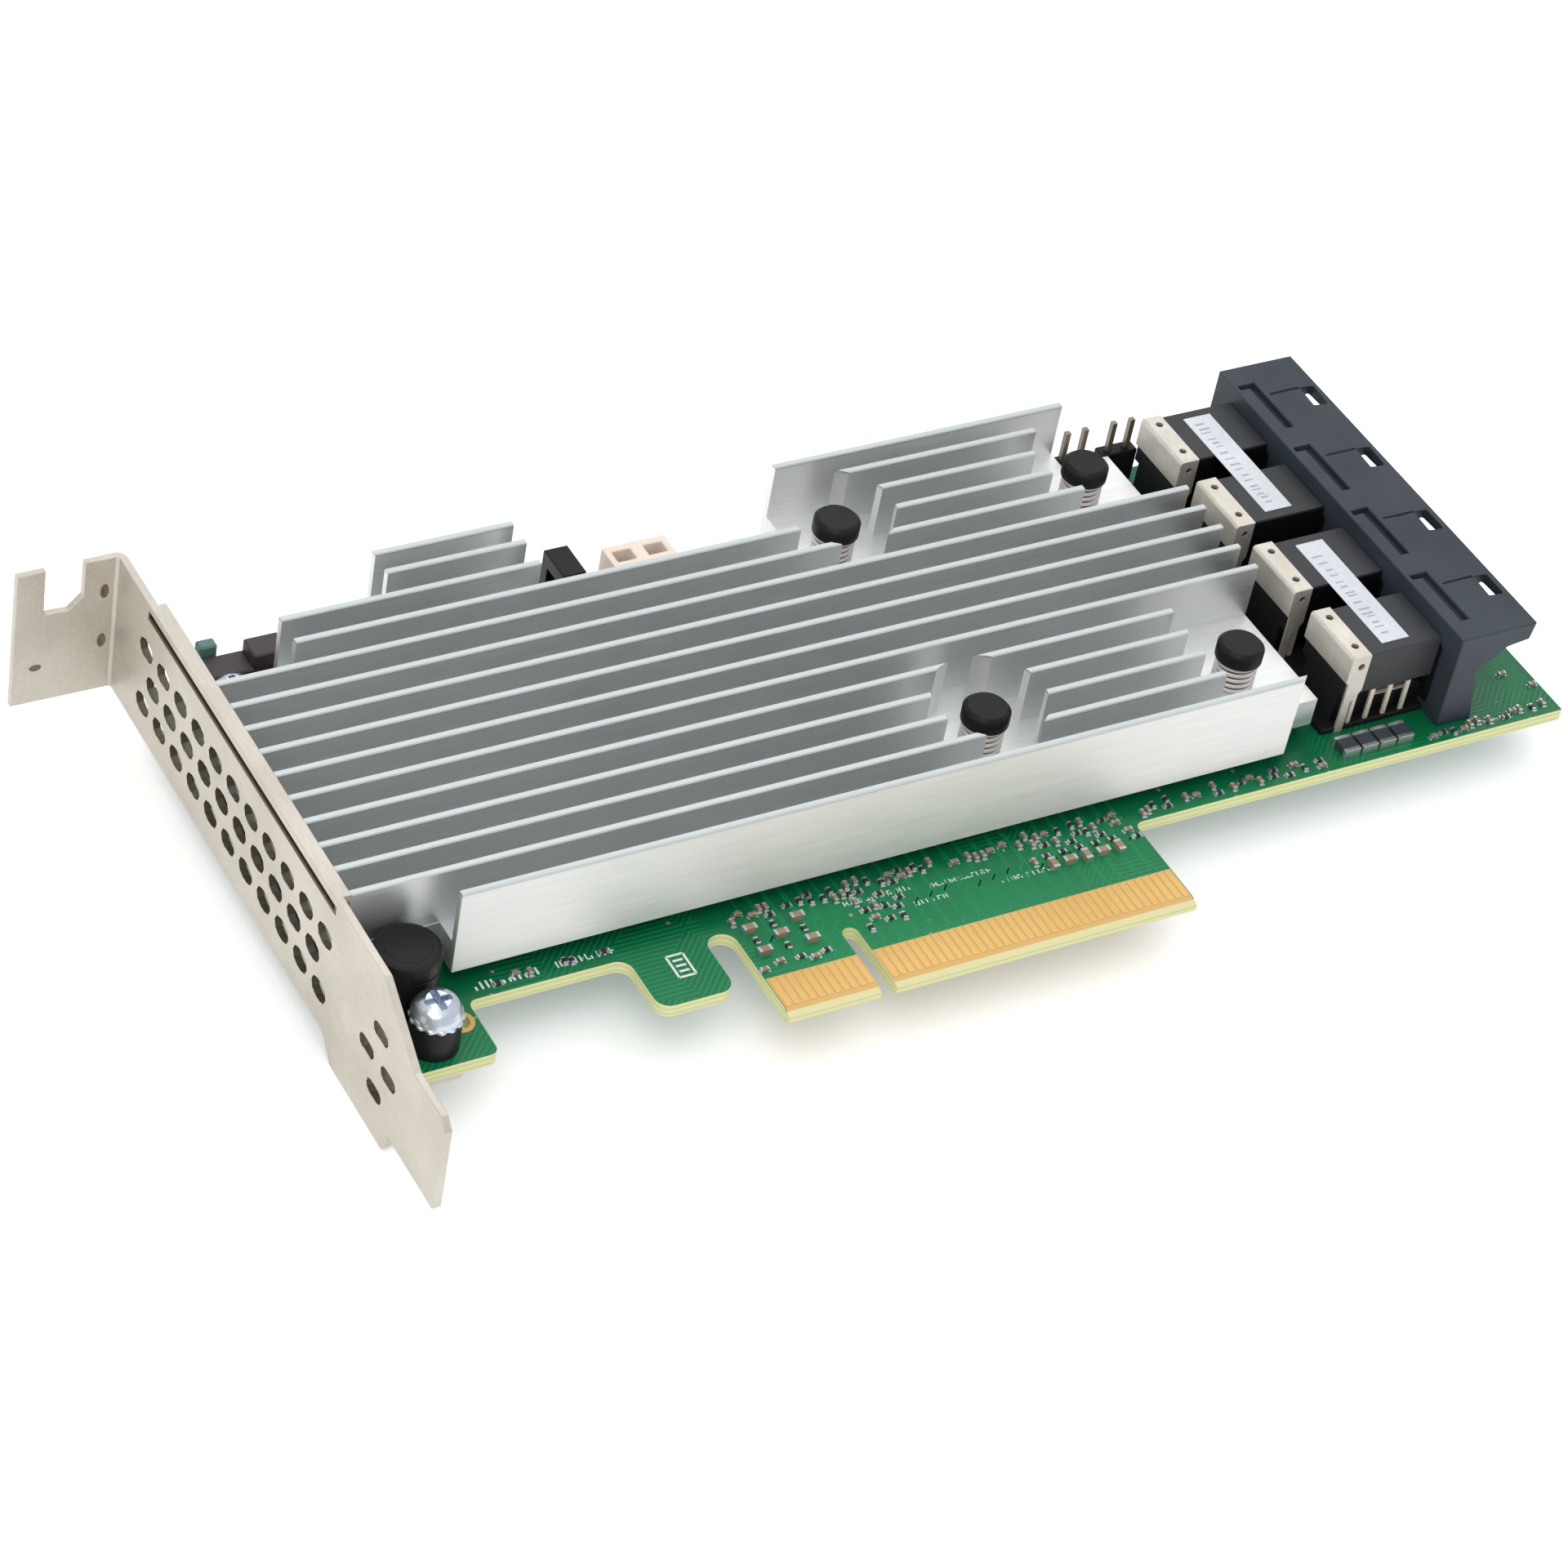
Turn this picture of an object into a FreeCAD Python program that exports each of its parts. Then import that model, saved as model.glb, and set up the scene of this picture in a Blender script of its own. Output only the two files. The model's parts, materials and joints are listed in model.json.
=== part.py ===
import FreeCAD, Part
import math
import os
from types import SimpleNamespace

from FreeCAD import Placement, Rotation, Vector

# Storage controller card, low profile: a printed circuit board with a card-edge connector, a
# large finned heatsink held by four sprung push pins, a vented slot bracket at one end and a
# four-port cable receptacle at the other.
#
# Frame: the origin is the centre of the keying notch at the tip of the card edge, on the
# component face. +X runs from the bracket to the cable ports, +Y from the card edge to the
# board's far edge, +Z away from the component face. Millimetres.

os.makedirs("parts", exist_ok=True)
doc = FreeCAD.newDocument("storage_controller_card")

SIZES = {
    # circuit board
    "board_thick": 1.57,
    "board_right": 99.0,
    "board_height": 68.9,
    "board_lower_edge": 13.4,
    "board_gap": 0.8,
    "edge_margin": 0.1,
    # card edge
    "notch_width": 1.9,
    "notch_depth": 9.6,
    "edge_left": 12.15,
    "edge_right": 39.15,
    "edge_corner": 1.0,
    "bevel_depth": 1.3,
    "bevel_inset": 0.42,
    "contact_pitch": 1.0,
    "contact_width": 0.70,
    "contact_first": 1.5,
    "contact_top": 5.6,
    "contact_thick": 0.05,
    "latch_left": 24.6,
    "latch_right": 15.6,
    "latch_tip": 5.5,
    "latch_corner": 1.7,
    "foot_tab_reach": 5.99,
    "foot_tab_tip": 5.6,
    "tooling_hole": 2.0,
    "tooling_hole_rise": 5.3,
    # slot bracket
    "bracket_face": 56.65,
    "bracket_thick": 0.86,
    "bracket_width": 18.42,
    "bracket_low": 4.95,
    "bracket_top": 76.8,
    "bracket_tip": 8.0,
    "bend_radius": 0.45,
    "tab_reach": 11.7,
    "tab_slot_width": 4.5,
    "tab_slot_depth": 6.2,
    "tab_slot_near": 3.9,
    "tab_slot_bevel": 1.6,
    "tab_slot_corner": 0.5,
    "tongue_low": 5.6,
    "tongue_high": 7.6,
    "tongue_corner": 1.2,
    "shoulder_low": 3.2,
    "shoulder_high": 7.6,
    "skirt_low": 7.7,
    "skirt_end": 19.0,
    "skirt_slope": 2.6,
    "flange_from": 19.4,
    "flange_to": 67.2,
    "flange_depth": 1.8,
    "crease_width": 0.75,
    "crease_depth": 0.4,
    "vent_length": 3.5,
    "vent_width": 2.5,
    "vent_pitch": 4.67,
    "vent_row_pitch": 3.85,
    "vent_rows": 3,
    "vent_first_y": 20.7,
    "vent_first_z": -0.6,
    "vent_block_y": 6.85,
    "vent_block_z": 2.0,
    "vent_block_across": 2.55,
    "vent_block_up": 4.1,
    "vent_block_width": 1.8,
    "foot_length": 9.6,
    "foot_width": 7.0,
    # bracket fixings
    "fixing_inset": 6.6,
    "fixing_y": 9.2,
    "fixing_pitch": 51.0,
    "fixing_hole": 3.1,
    "screw_shank": 2.9,
    "screw_head": 5.5,
    "screw_head_high": 2.3,
    "screw_rim_high": 0.9,
    "screw_brow": 4.5,
    "screw_brow_high": 1.8,
    "screw_crown": 2.6,
    "screw_tail": 1.0,
    "recess_length": 3.0,
    "recess_width": 0.7,
    "recess_depth": 1.4,
    "spacer_outer": 5.6,
    "spacer_high": 4.0,
    # heatsink
    "sink_gap": 2.0,
    "sink_base": 3.8,
    "sink_top": 13.0,
    "sink_front": 16.0,
    "sink_overhang": 0.1,
    "sink_bracket_gap": 1.09,
    "sink_port_gap": 3.15,
    "sink_right_cut": 5.9,
    "sink_chamfer": 3.35,
    "sink_buzzer_gap": 0.3,
    "sink_buzzer_side": 2.05,
    "sink_screw_gap": 2.5,
    "sink_block_gap": 1.45,
    "sink_block_side": 11.75,
    "sink_socket_side": 4.7,
    "sink_socket_back": 5.5,
    "sink_plug_side": 13.15,
    "fin_pitch": 3.758,
    "fin_thick": 0.85,
    "fin_offset": 0.25,
    "pin_relief": 13.4,
    "front_corner_inset": 6.0,
    "rear_corner_inset": 4.2,
    # push pins and their springs
    "pin_inset": 8.0,
    "pin_y": 25.4,
    "pin_pitch_x": 33.8,
    "pin_pitch_y": 34.2,
    "pin_hole": 3.3,
    "pin_shank": 2.8,
    "pin_head": 5.5,
    "pin_head_low": 9.5,
    "pin_head_high": 2.0,
    "pin_head_edge": 0.5,
    "pin_barb": 4.0,
    "pin_tail": 1.9,
    "pin_tip": 1.8,
    "pin_slit": 0.7,
    "spring_outer": 5.0,
    "spring_wire": 0.45,
    "spring_turns": 5,
    "spring_steps": 8,
    # controller and memory under the heatsink
    "chip_x": 6.0,
    "chip_y": 41.0,
    "chip_side": 27.0,
    "chip_substrate": 0.8,
    "chip_lid_side": 21.0,
    "chip_lid": 0.9,
    "chip_lid_corner": 0.8,
    "memory_length": 14.0,
    "memory_width": 9.0,
    "memory_high": 1.1,
    "memory_pitch": 12.5,
    "memory_count": 3,
    "memory_offset": 25.0,
    "pad_margin": 1.0,
    # buzzer
    "buzzer_offset": 0.51,
    "buzzer_gap": 0.1,
    "buzzer_diameter": 7.3,
    "buzzer_high": 8.0,
    "buzzer_edge": 0.4,
    "buzzer_port": 1.6,
    # cable receptacle
    "port_pitch": 12.4,
    "port_count": 4,
    "housing_inset": 16.6,
    "housing_edge_gap": 0.6,
    "housing_depth": 10.5,
    "housing_high": 13.0,
    "housing_width": 52.5,
    "housing_foot": 4.9,
    "housing_waist": 3.3,
    "housing_waist_z": 7.4,
    "housing_curve": 0.8,
    "housing_nose": 2.35,
    "housing_nose_slope": 0.4,
    "housing_brow": 3.4,
    "housing_brow_drop": 0.3,
    "port_width": 9.8,
    "port_floor": 1.2,
    "port_high": 8.7,
    "port_corner": 0.5,
    "mouth_reach": 4.5,
    "mouth_top": 11.7,
    "window_inset": 1.65,
    "window_length": 3.6,
    "window_width": 1.9,
    "window_corner": 0.25,
    "groove_width": 1.1,
    "groove_depth": 0.9,
    "groove_inset": 1.9,
    "groove_length": 8.8,
    "groove_arm": 1.4,
    "groove_arm_width": 0.8,
    "line_width": 0.3,
    "line_depth": 0.3,
    "line_offset": 1.75,
    "line_gap": 0.6,
    # port modules, their shields, leads and labels
    "module_length": 12.5,
    "module_width": 8.6,
    "module_high": 10.9,
    "module_undercut": 0.9,
    "module_undercut_high": 5.2,
    "slot_depth": 7.5,
    "slot_width": 7.2,
    "slot_high": 1.3,
    "slot_low_z": 3.1,
    "slot_pitch_z": 3.8,
    "shield_thick": 0.35,
    "shield_strip": 2.3,
    "shield_skirt": 3.4,
    "shield_hole": 0.9,
    "shield_hole_reach": 2.65,
    "shield_leg": 1.1,
    "shield_leg_slope": 0.8,
    "lead_width": 0.55,
    "lead_thick": 0.3,
    "lead_pitch": 2.5,
    "lead_first": 1.9,
    "lead_count": 4,
    "blade_pitch": 0.75,
    "blade_count": 9,
    "blade_width": 0.4,
    "blade_thick": 0.25,
    "blade_length": 5.5,
    "label_inset": 4.8,
    "label_width": 3.8,
    "label_length": 18.3,
    "label_thick": 0.1,
    # small connectors at the far edge
    "header_inset": 7.25,
    "header_depth": 1.9,
    "header_gap": 0.25,
    "header_pitch": 2.54,
    "header_spacing": 6.6,
    "header_base": 4.7,
    "header_pin": 0.64,
    "header_top": 8.9,
    "socket_x": -6.5,
    "socket_width": 3.0,
    "socket_depth": 5.0,
    "socket_high": 7.7,
    "mouth_width": 2.25,
    "mouth_high": 2.7,
    "mouth_z": 4.6,
    "mouth_depth": 2.1,
    "plug_x": 3.6,
    "plug_width": 8.1,
    "plug_depth": 3.7,
    "plug_high": 6.0,
    "well_pitch": 4.05,
    "well_width": 2.4,
    "well_depth": 1.85,
    "well_sink": 4.2,
    "rear_block_offset": 3.29,
    "rear_block_gap": 0.45,
    "rear_block_width": 8.9,
    "rear_block_depth": 3.5,
    "rear_block_high": 4.5,
    "rear_block_step": 3.1,
    "rear_block_step_high": 3.15,
    # small surface-mounted parts
    "capacitor_length": 1.6,
    "capacitor_width": 0.8,
    "capacitor_high": 0.8,
    "resistor_length": 1.0,
    "resistor_width": 0.5,
    "resistor_high": 0.35,
    "front_group_x": -7.4,
    "front_group_y": 9.2,
    "front_group_pitch_x": 2.9,
    "front_group_pitch_y": 1.75,
    "front_group_rows": 3,
    "corner_group_x": 26.6,
    "corner_group_y": 10.4,
    "corner_group_pitch": 2.15,
    "corner_group_count": 5,
    "filter_inset": 1.0,
    "filter_length": 2.1,
    "filter_width": 2.6,
    "filter_high": 1.1,
    "filter_pitch": 2.5,
    "filter_count": 4,
    "filter_gap": 1.9,
    "decoupling_pitch": 4.5,
    "decoupling_count": 5,
    "coupling_pitch": 2.0,
    "coupling_y": 11.6,
    "memory_store_x": 30.0,
    "memory_store_y": 42.0,
    "memory_store_length": 5.0,
    "memory_store_width": 4.0,
    "memory_store_high": 0.8,
}

sheet = doc.addObject("Spreadsheet::Sheet", "Sizes")
for row, (name, value) in enumerate(SIZES.items(), start=1):
    sheet.set(f"A{row}", name)
    sheet.set(f"B{row}", str(value))
    sheet.setAlias(f"B{row}", name)
doc.recompute()

# The values are read back from the sheet, so that plans and sections follow it.
mm = SimpleNamespace(**{name: float(sheet.get(name)) for name in SIZES})

pieces = []


# ---- drawing and building helpers ----

same_point = 1e-6  # ends of edges closer than this are one point
hair = 0.001  # what a corner's arc stops short of a full half round
past = 1.0  # how far a cutting outline runs past the surface that it cuts


def cell(name):
    return f"Sizes.{name}"


def rounded(points, straight=False):
    # Edges of a closed outline. A point is (u, v) or (u, v, radius): a radius rounds its corner,
    # or cuts it straight between the same two ends.
    count = len(points)
    ends = []
    for i, point in enumerate(points):
        corner = Vector(point[0], point[1], 0)
        radius = point[2] if len(point) > 2 else 0
        if radius == 0:
            ends.append((corner, None, corner))
            continue
        before = Vector(*points[i - 1][:2], 0) - corner
        after = Vector(*points[(i + 1) % count][:2], 0) - corner
        half = before.getAngle(after) / 2
        before.normalize()
        after.normalize()
        reach = radius / math.tan(half)
        inward = (before + after).normalize()
        middle = corner + inward * (radius / math.sin(half) - radius)
        ends.append((corner + before * reach, middle, corner + after * reach))
    edges = []
    for i, (start, middle, end) in enumerate(ends):
        if middle is not None and straight:
            edges.append(Part.LineSegment(start, end))
        elif middle is not None:
            edges.append(Part.Arc(start, middle, end))
        following = ends[(i + 1) % count][0]
        if end.distanceToPoint(following) > same_point:
            edges.append(Part.LineSegment(end, following))
    return edges


def rectangle(low_u, low_v, high_u, high_v, cut=0):
    # A rectangle, with its corners cut straight if a cut is given.
    return rounded([(low_u, low_v, cut), (high_u, low_v, cut),
                    (high_u, high_v, cut), (low_u, high_v, cut)], straight=True)


def centred(u, v, width, depth, cut=0):
    return rectangle(u - width / 2, v - depth / 2, u + width / 2, v + depth / 2, cut)


def circle(u, v, diameter):
    return [Part.Circle(Vector(u, v, 0), Vector(0, 0, 1), diameter / 2)]


def oval(u, v, length, width):
    # A slot whose two round ends are each drawn with four straight sides.
    points = []
    for end in (1, -1):
        for step in range(-2, 3):
            angle = step * math.pi / 4
            points.append((u + end * ((length - width) / 2 + width / 2 * math.cos(angle)),
                           v + end * width / 2 * math.sin(angle)))
    return rounded(points)


def eye(u, v, across):
    # A small pierced hole, drawn with eight sides.
    corners = [math.pi / 8 + i * math.pi / 4 for i in range(8)]
    radius = across / 2 / math.cos(math.pi / 8)
    return rounded([(u + radius * math.cos(a), v + radius * math.sin(a)) for a in corners])


def new_body(name):
    body = doc.addObject("PartDesign::Body", name)
    body.Label = name
    body.AllowCompound = True
    pieces.append(body)
    return body


def sketch_on(body, role, edges, height=None):
    # A sketch on one of the body's own origin planes, moved along the plane's normal.
    plane = next(f for f in body.Origin.OriginFeatures if f.Role == role)
    sketch = body.newObject("Sketcher::SketchObject", f"{body.Name}_sketch")
    sketch.AttachmentSupport = [(plane, "")]
    sketch.MapMode = "FlatFace"
    if height:
        sketch.setExpression("AttachmentOffset.Base.z", height)
    for edge in edges:
        sketch.addGeometry(edge, False)
    return sketch


def pad(body, sketch, length, backwards=False):
    feature = body.newObject("PartDesign::Pad", f"{body.Name}_pad")
    feature.Profile = sketch
    feature.setExpression("Length", length)
    feature.Reversed = backwards
    sketch.Visibility = False
    return feature


def pocket(body, sketch, length, backwards=False):
    # Cuts against the sketch's normal, or along it when backwards, and must remove something.
    doc.recompute()
    before = body.Shape.Volume
    feature = body.newObject("PartDesign::Pocket", f"{body.Name}_pocket")
    feature.Profile = sketch
    feature.setExpression("Length", length)
    feature.Reversed = backwards
    doc.recompute()
    if not body.Shape.Volume < before:
        raise RuntimeError(f"{feature.Name} cuts nothing")
    return feature


def turned(body, edges, x, y, role="XZ_Plane"):
    # A half section in the XZ plane, turned about the vertical line through x, y.
    sketch = sketch_on(body, role, edges, f"-({y})")
    sketch.setExpression("AttachmentOffset.Base.x", x)
    feature = body.newObject("PartDesign::Revolution", f"{body.Name}_turn")
    feature.Profile = sketch
    feature.ReferenceAxis = (sketch, ["V_Axis"])
    feature.Angle = 360
    return feature


def plan_piece(name, edges, low, height):
    # A piece of constant height whose plan is drawn on the board: low and height are expressions.
    body = new_body(name)
    pad(body, sketch_on(body, "XY_Plane", edges, low), height)
    return body


# ---- values that several pieces share ----

# The bracket end: the plate's outer face is placed from the keying notch, and the fixings, the
# buzzer and the stepped socket follow it.
face_x = -mm.bracket_face
inner_x = face_x + mm.bracket_thick
board_left = inner_x + mm.board_gap
board_top = mm.board_height
below_board = f"-{cell('board_thick')}"
face_cell = f"-{cell('bracket_face')}"
fixing_x = inner_x + mm.fixing_inset
fixing_x_cell = f"{cell('bracket_thick')} + {cell('fixing_inset')} - {cell('bracket_face')}"
fixing_ys = [mm.fixing_y, mm.fixing_y + mm.fixing_pitch]
fixing_reach = max(mm.spacer_outer, mm.screw_head) / 2
buzzer_x = fixing_x - mm.buzzer_offset
buzzer_y = mm.fixing_y + fixing_reach + mm.buzzer_gap + mm.buzzer_diameter / 2
block_left = fixing_x + mm.rear_block_offset - mm.rear_block_width / 2
block_front = fixing_ys[1] + fixing_reach + mm.rear_block_gap

# The port end: the receptacle is placed from the board's right and far edges.
housing_back = mm.board_right - mm.housing_inset
housing_lip = housing_back + mm.housing_depth
module_back = housing_back - mm.module_length
back_cell = f"({cell('board_right')} - {cell('housing_inset')})"
module_cell = f"({back_cell} - {cell('module_length')})"
port_count = int(mm.port_count)
ports_middle = mm.board_height - mm.housing_edge_gap - mm.housing_width / 2
port_ys = [ports_middle + (i - (port_count - 1) / 2) * mm.port_pitch for i in range(port_count)]
middle_cell = f"({cell('board_height')} - {cell('housing_edge_gap')} - {cell('housing_width')} / 2)"
header_x = module_back - mm.header_inset

# The heatsink fills the room between the two ends, and the push pins keep to its port end.
sink_left = inner_x + mm.sink_bracket_gap
sink_right = module_back - mm.shield_thick - mm.sink_port_gap
sink_back = mm.board_height + mm.sink_overhang
sink_low = mm.sink_gap
sink_floor = mm.sink_gap + mm.sink_base
sink_left_cell = f"({cell('bracket_thick')} + {cell('sink_bracket_gap')} - {cell('bracket_face')})"
sink_right_cell = f"({module_cell} - {cell('shield_thick')} - {cell('sink_port_gap')})"
pin_right = sink_right - mm.pin_inset
pin_places = [(pin_right - (1 - i) * mm.pin_pitch_x, mm.pin_y + j * mm.pin_pitch_y)
              for i in range(2) for j in range(2)]


# ---- circuit board and card edge ----

def board_plan():
    notch = mm.notch_width / 2
    notch_round = notch - hair
    shelf = mm.board_lower_edge
    tab_right = fixing_x + mm.foot_tab_reach
    return rounded([
        (-mm.edge_left, 0), (-notch, 0), (-notch, mm.notch_depth, notch_round),
        (notch, mm.notch_depth, notch_round), (notch, 0), (mm.edge_right, 0),
        (mm.edge_right, shelf, mm.edge_corner), (mm.board_right, shelf),
        (mm.board_right, board_top), (board_left, board_top),
        (board_left, mm.foot_tab_tip), (tab_right, mm.foot_tab_tip, mm.edge_corner),
        (tab_right, shelf, mm.edge_corner), (-mm.latch_left, shelf, mm.latch_corner),
        (-mm.latch_left, mm.latch_tip, mm.latch_corner),
        (-mm.latch_right, mm.latch_tip, mm.latch_corner),
        (-mm.latch_right, shelf, mm.latch_corner), (-mm.edge_left, shelf, mm.latch_corner)])


def make_board():
    board = new_body("circuit_board")
    pad(board, sketch_on(board, "XY_Plane", board_plan()), cell("board_thick"), backwards=True)
    # Both faces of the card edge are bevelled.
    bevels = []
    for face, outward in ((0, 1), (-mm.board_thick, -1)):
        inset = face - outward * mm.bevel_inset
        clear = face + outward * past
        bevels += rounded([(-past, clear), (-past, inset), (0, inset), (mm.bevel_depth, face),
                           (mm.bevel_depth, clear)])
    profile = sketch_on(board, "YZ_Plane", bevels, f"{cell('edge_right')} + {past}")
    pocket(board, profile, f"{cell('edge_right')} + {cell('edge_left')} + {2 * past}")
    holes = []
    for x, y in pin_places:
        holes += circle(x, y, mm.pin_hole)
    for y in fixing_ys:
        holes += circle(fixing_x, y, mm.fixing_hole)
    holes += circle(fixing_x + mm.foot_tab_reach - mm.tooling_hole,
                    mm.foot_tab_tip + mm.tooling_hole_rise, mm.tooling_hole)
    pocket(board, sketch_on(board, "XY_Plane", holes), cell("board_thick"))


def contact_plans():
    # Contact positions run outwards from the notch, which takes the place of one contact.
    plans = []
    first = mm.contact_first
    left_count = int((mm.edge_left - first) / mm.contact_pitch) + 1
    right_count = int((mm.edge_right - first) / mm.contact_pitch) + 1
    xs = [-first - i * mm.contact_pitch for i in range(left_count)]
    xs += [first + i * mm.contact_pitch for i in range(right_count)]
    for x in xs:
        half = mm.contact_width / 2
        plans += rectangle(x - half, mm.bevel_depth, x + half, mm.contact_top)
    return plans


def make_contacts():
    plan_piece("edge_contacts_top", contact_plans(), None, cell("contact_thick"))
    plan_piece("edge_contacts_bottom", contact_plans(),
               f"{below_board} - {cell('contact_thick')}", cell("contact_thick"))


# ---- slot bracket ----

def make_bracket():
    bracket = new_body("slot_bracket")
    low, high = -mm.bracket_low, mm.bracket_width - mm.bracket_low
    tab_end = face_x - mm.tab_reach
    under_tab = mm.bracket_top - mm.bracket_thick
    # The plate and its folded fixing tab are one strip, seen edge on.
    strip = rounded([
        (face_x, -mm.bracket_tip), (inner_x, -mm.bracket_tip),
        (inner_x, mm.bracket_top, mm.bend_radius + mm.bracket_thick), (tab_end, mm.bracket_top),
        (tab_end, under_tab), (face_x, under_tab, mm.bend_radius)])
    pad(bracket, sketch_on(bracket, "XY_Plane", strip, f"-{cell('bracket_low')}"),
        cell("bracket_width"))

    # Below the board the plate widens into a skirt before it steps in to the tongue.
    skirt = rounded([
        (mm.shoulder_low, low + past), (mm.shoulder_low, -mm.skirt_low, mm.tongue_corner),
        (mm.skirt_end - mm.skirt_slope, -mm.skirt_low, mm.tongue_corner), (mm.skirt_end, low),
        (mm.skirt_end, low + past)])
    pad(bracket, sketch_on(bracket, "YZ_Plane", skirt, face_cell), cell("bracket_thick"))

    # The top edge is folded inwards along most of the plate.
    fold = rounded([
        (inner_x - mm.bracket_thick / 2, high - mm.bracket_thick),
        (face_x + mm.flange_depth, high - mm.bracket_thick),
        (face_x + mm.flange_depth, high), (inner_x - mm.bracket_thick / 2, high)])
    pad(bracket, sketch_on(bracket, "XZ_Plane", fold, f"-{cell('flange_to')}"),
        f"{cell('flange_to')} - {cell('flange_from')}")

    # Two feet run under the board.
    feet = []
    for y in fixing_ys:
        feet += rounded([(inner_x - mm.bracket_thick / 2, y - mm.foot_width / 2),
                         (inner_x + mm.foot_length, y - mm.foot_width / 2, mm.tongue_corner),
                         (inner_x + mm.foot_length, y + mm.foot_width / 2, mm.tongue_corner),
                         (inner_x - mm.bracket_thick / 2, y + mm.foot_width / 2)], straight=True)
    pad(bracket, sketch_on(bracket, "XY_Plane", feet, below_board), cell("bracket_thick"),
        backwards=True)

    # The tongue is narrower than the plate and steps in at two shoulders.
    tip = -mm.bracket_tip
    corner = mm.tongue_corner
    under = -mm.skirt_low - past
    sides = rounded([(tip - past, under), (mm.shoulder_low - corner, under),
                     (mm.shoulder_low - corner, -mm.tongue_low), (tip + corner, -mm.tongue_low),
                     (tip, corner - mm.tongue_low), (tip - past, corner - mm.tongue_low)])
    sides += rounded([(tip - past, mm.tongue_high - corner), (tip, mm.tongue_high - corner),
                      (tip + corner, mm.tongue_high), (-corner / 2, mm.tongue_high),
                      (mm.shoulder_high, high), (mm.shoulder_high, high + past),
                      (tip - past, high + past)])
    past_plate = f"{face_cell} - {past}"
    across_plate = f"{cell('bracket_thick')} + {2 * past}"
    pocket(bracket, sketch_on(bracket, "YZ_Plane", sides, past_plate), across_plate, True)

    # Vents: staggered rows of ovals, every second row half a pitch along.
    vents = []
    row_top = mm.flange_to + mm.vent_length / 2
    for row in range(int(mm.vent_rows)):
        y = mm.vent_first_y + (row % 2) * mm.vent_pitch / 2
        while y < row_top:
            vents += oval(y, mm.vent_first_z + row * mm.vent_row_pitch, mm.vent_length, mm.vent_width)
            y += mm.vent_pitch
    # Four more stand in a diamond beside the tongue.
    for across, up in ((-1, 0), (1, 0), (0, -1), (0, 1)):
        vents += oval(mm.vent_block_y + across * mm.vent_block_across,
                      mm.vent_block_z + up * mm.vent_block_up, mm.vent_length, mm.vent_block_width)
    pocket(bracket, sketch_on(bracket, "YZ_Plane", vents, past_plate), across_plate, True)

    # A pressed crease runs beside the folded edge.
    crease = rectangle(mm.flange_from, high - mm.bracket_thick - mm.crease_width,
                       mm.flange_to, high - mm.bracket_thick)
    pocket(bracket, sketch_on(bracket, "YZ_Plane", crease, face_cell), cell("crease_depth"), True)

    # The fixing tab has a slot open to one side, and the feet have screw holes.
    slot_x = face_x - mm.tab_slot_near
    slot = rounded([(slot_x, high + past), (slot_x, high - mm.tab_slot_depth + mm.tab_slot_bevel),
                    (slot_x - mm.tab_slot_bevel, high - mm.tab_slot_depth),
                    (slot_x - mm.tab_slot_width, high - mm.tab_slot_depth, mm.tab_slot_corner),
                    (slot_x - mm.tab_slot_width, high + past)])
    pocket(bracket, sketch_on(bracket, "XZ_Plane", slot, f"-{cell('bracket_top')} - {past}"),
           across_plate, True)
    holes = []
    for y in fixing_ys:
        holes += circle(fixing_x, y, mm.fixing_hole)
    pocket(bracket, sketch_on(bracket, "XY_Plane", holes, below_board), cell("bracket_thick"))


def make_fixings():
    # Each foot is held by a pan-head screw through a spacer, the board and the foot.
    for i, y in enumerate(fixing_ys):
        y_cell = f"{cell('fixing_y')} + {i} * {cell('fixing_pitch')}"
        end = "front" if i == 0 else "rear"
        spacer = new_body(f"bracket_spacer_{end}")
        wall = rectangle(mm.fixing_hole / 2, 0, mm.spacer_outer / 2, mm.spacer_high)
        turned(spacer, wall, fixing_x_cell, y_cell)
        screw = new_body(f"bracket_screw_{end}")
        low = -mm.board_thick - mm.bracket_thick - mm.screw_tail
        seat = mm.spacer_high
        section = rounded([(0, low), (mm.screw_shank / 2, low), (mm.screw_shank / 2, seat),
                           (mm.screw_head / 2, seat), (mm.screw_head / 2, seat + mm.screw_rim_high),
                           (mm.screw_brow / 2, seat + mm.screw_brow_high),
                           (mm.screw_crown / 2, seat + mm.screw_head_high),
                           (0, seat + mm.screw_head_high)])
        turned(screw, section, fixing_x_cell, y_cell)
        # Cross recess.
        cross = plus_sign(fixing_x, y, mm.recess_length, mm.recess_width)
        pocket(screw, sketch_on(screw, "XY_Plane", cross,
                                f"{cell('spacer_high')} + {cell('screw_head_high')}"),
               cell("recess_depth"))


def plus_sign(u, v, length, width):
    a, b = length / 2, width / 2
    return rounded([(u - a, v - b), (u - b, v - b), (u - b, v - a), (u + b, v - a), (u + b, v - b),
                    (u + a, v - b), (u + a, v + b), (u + b, v + b), (u + b, v + a), (u - b, v + a),
                    (u - b, v + b), (u - a, v + b)])


# ---- heatsink ----

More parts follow.
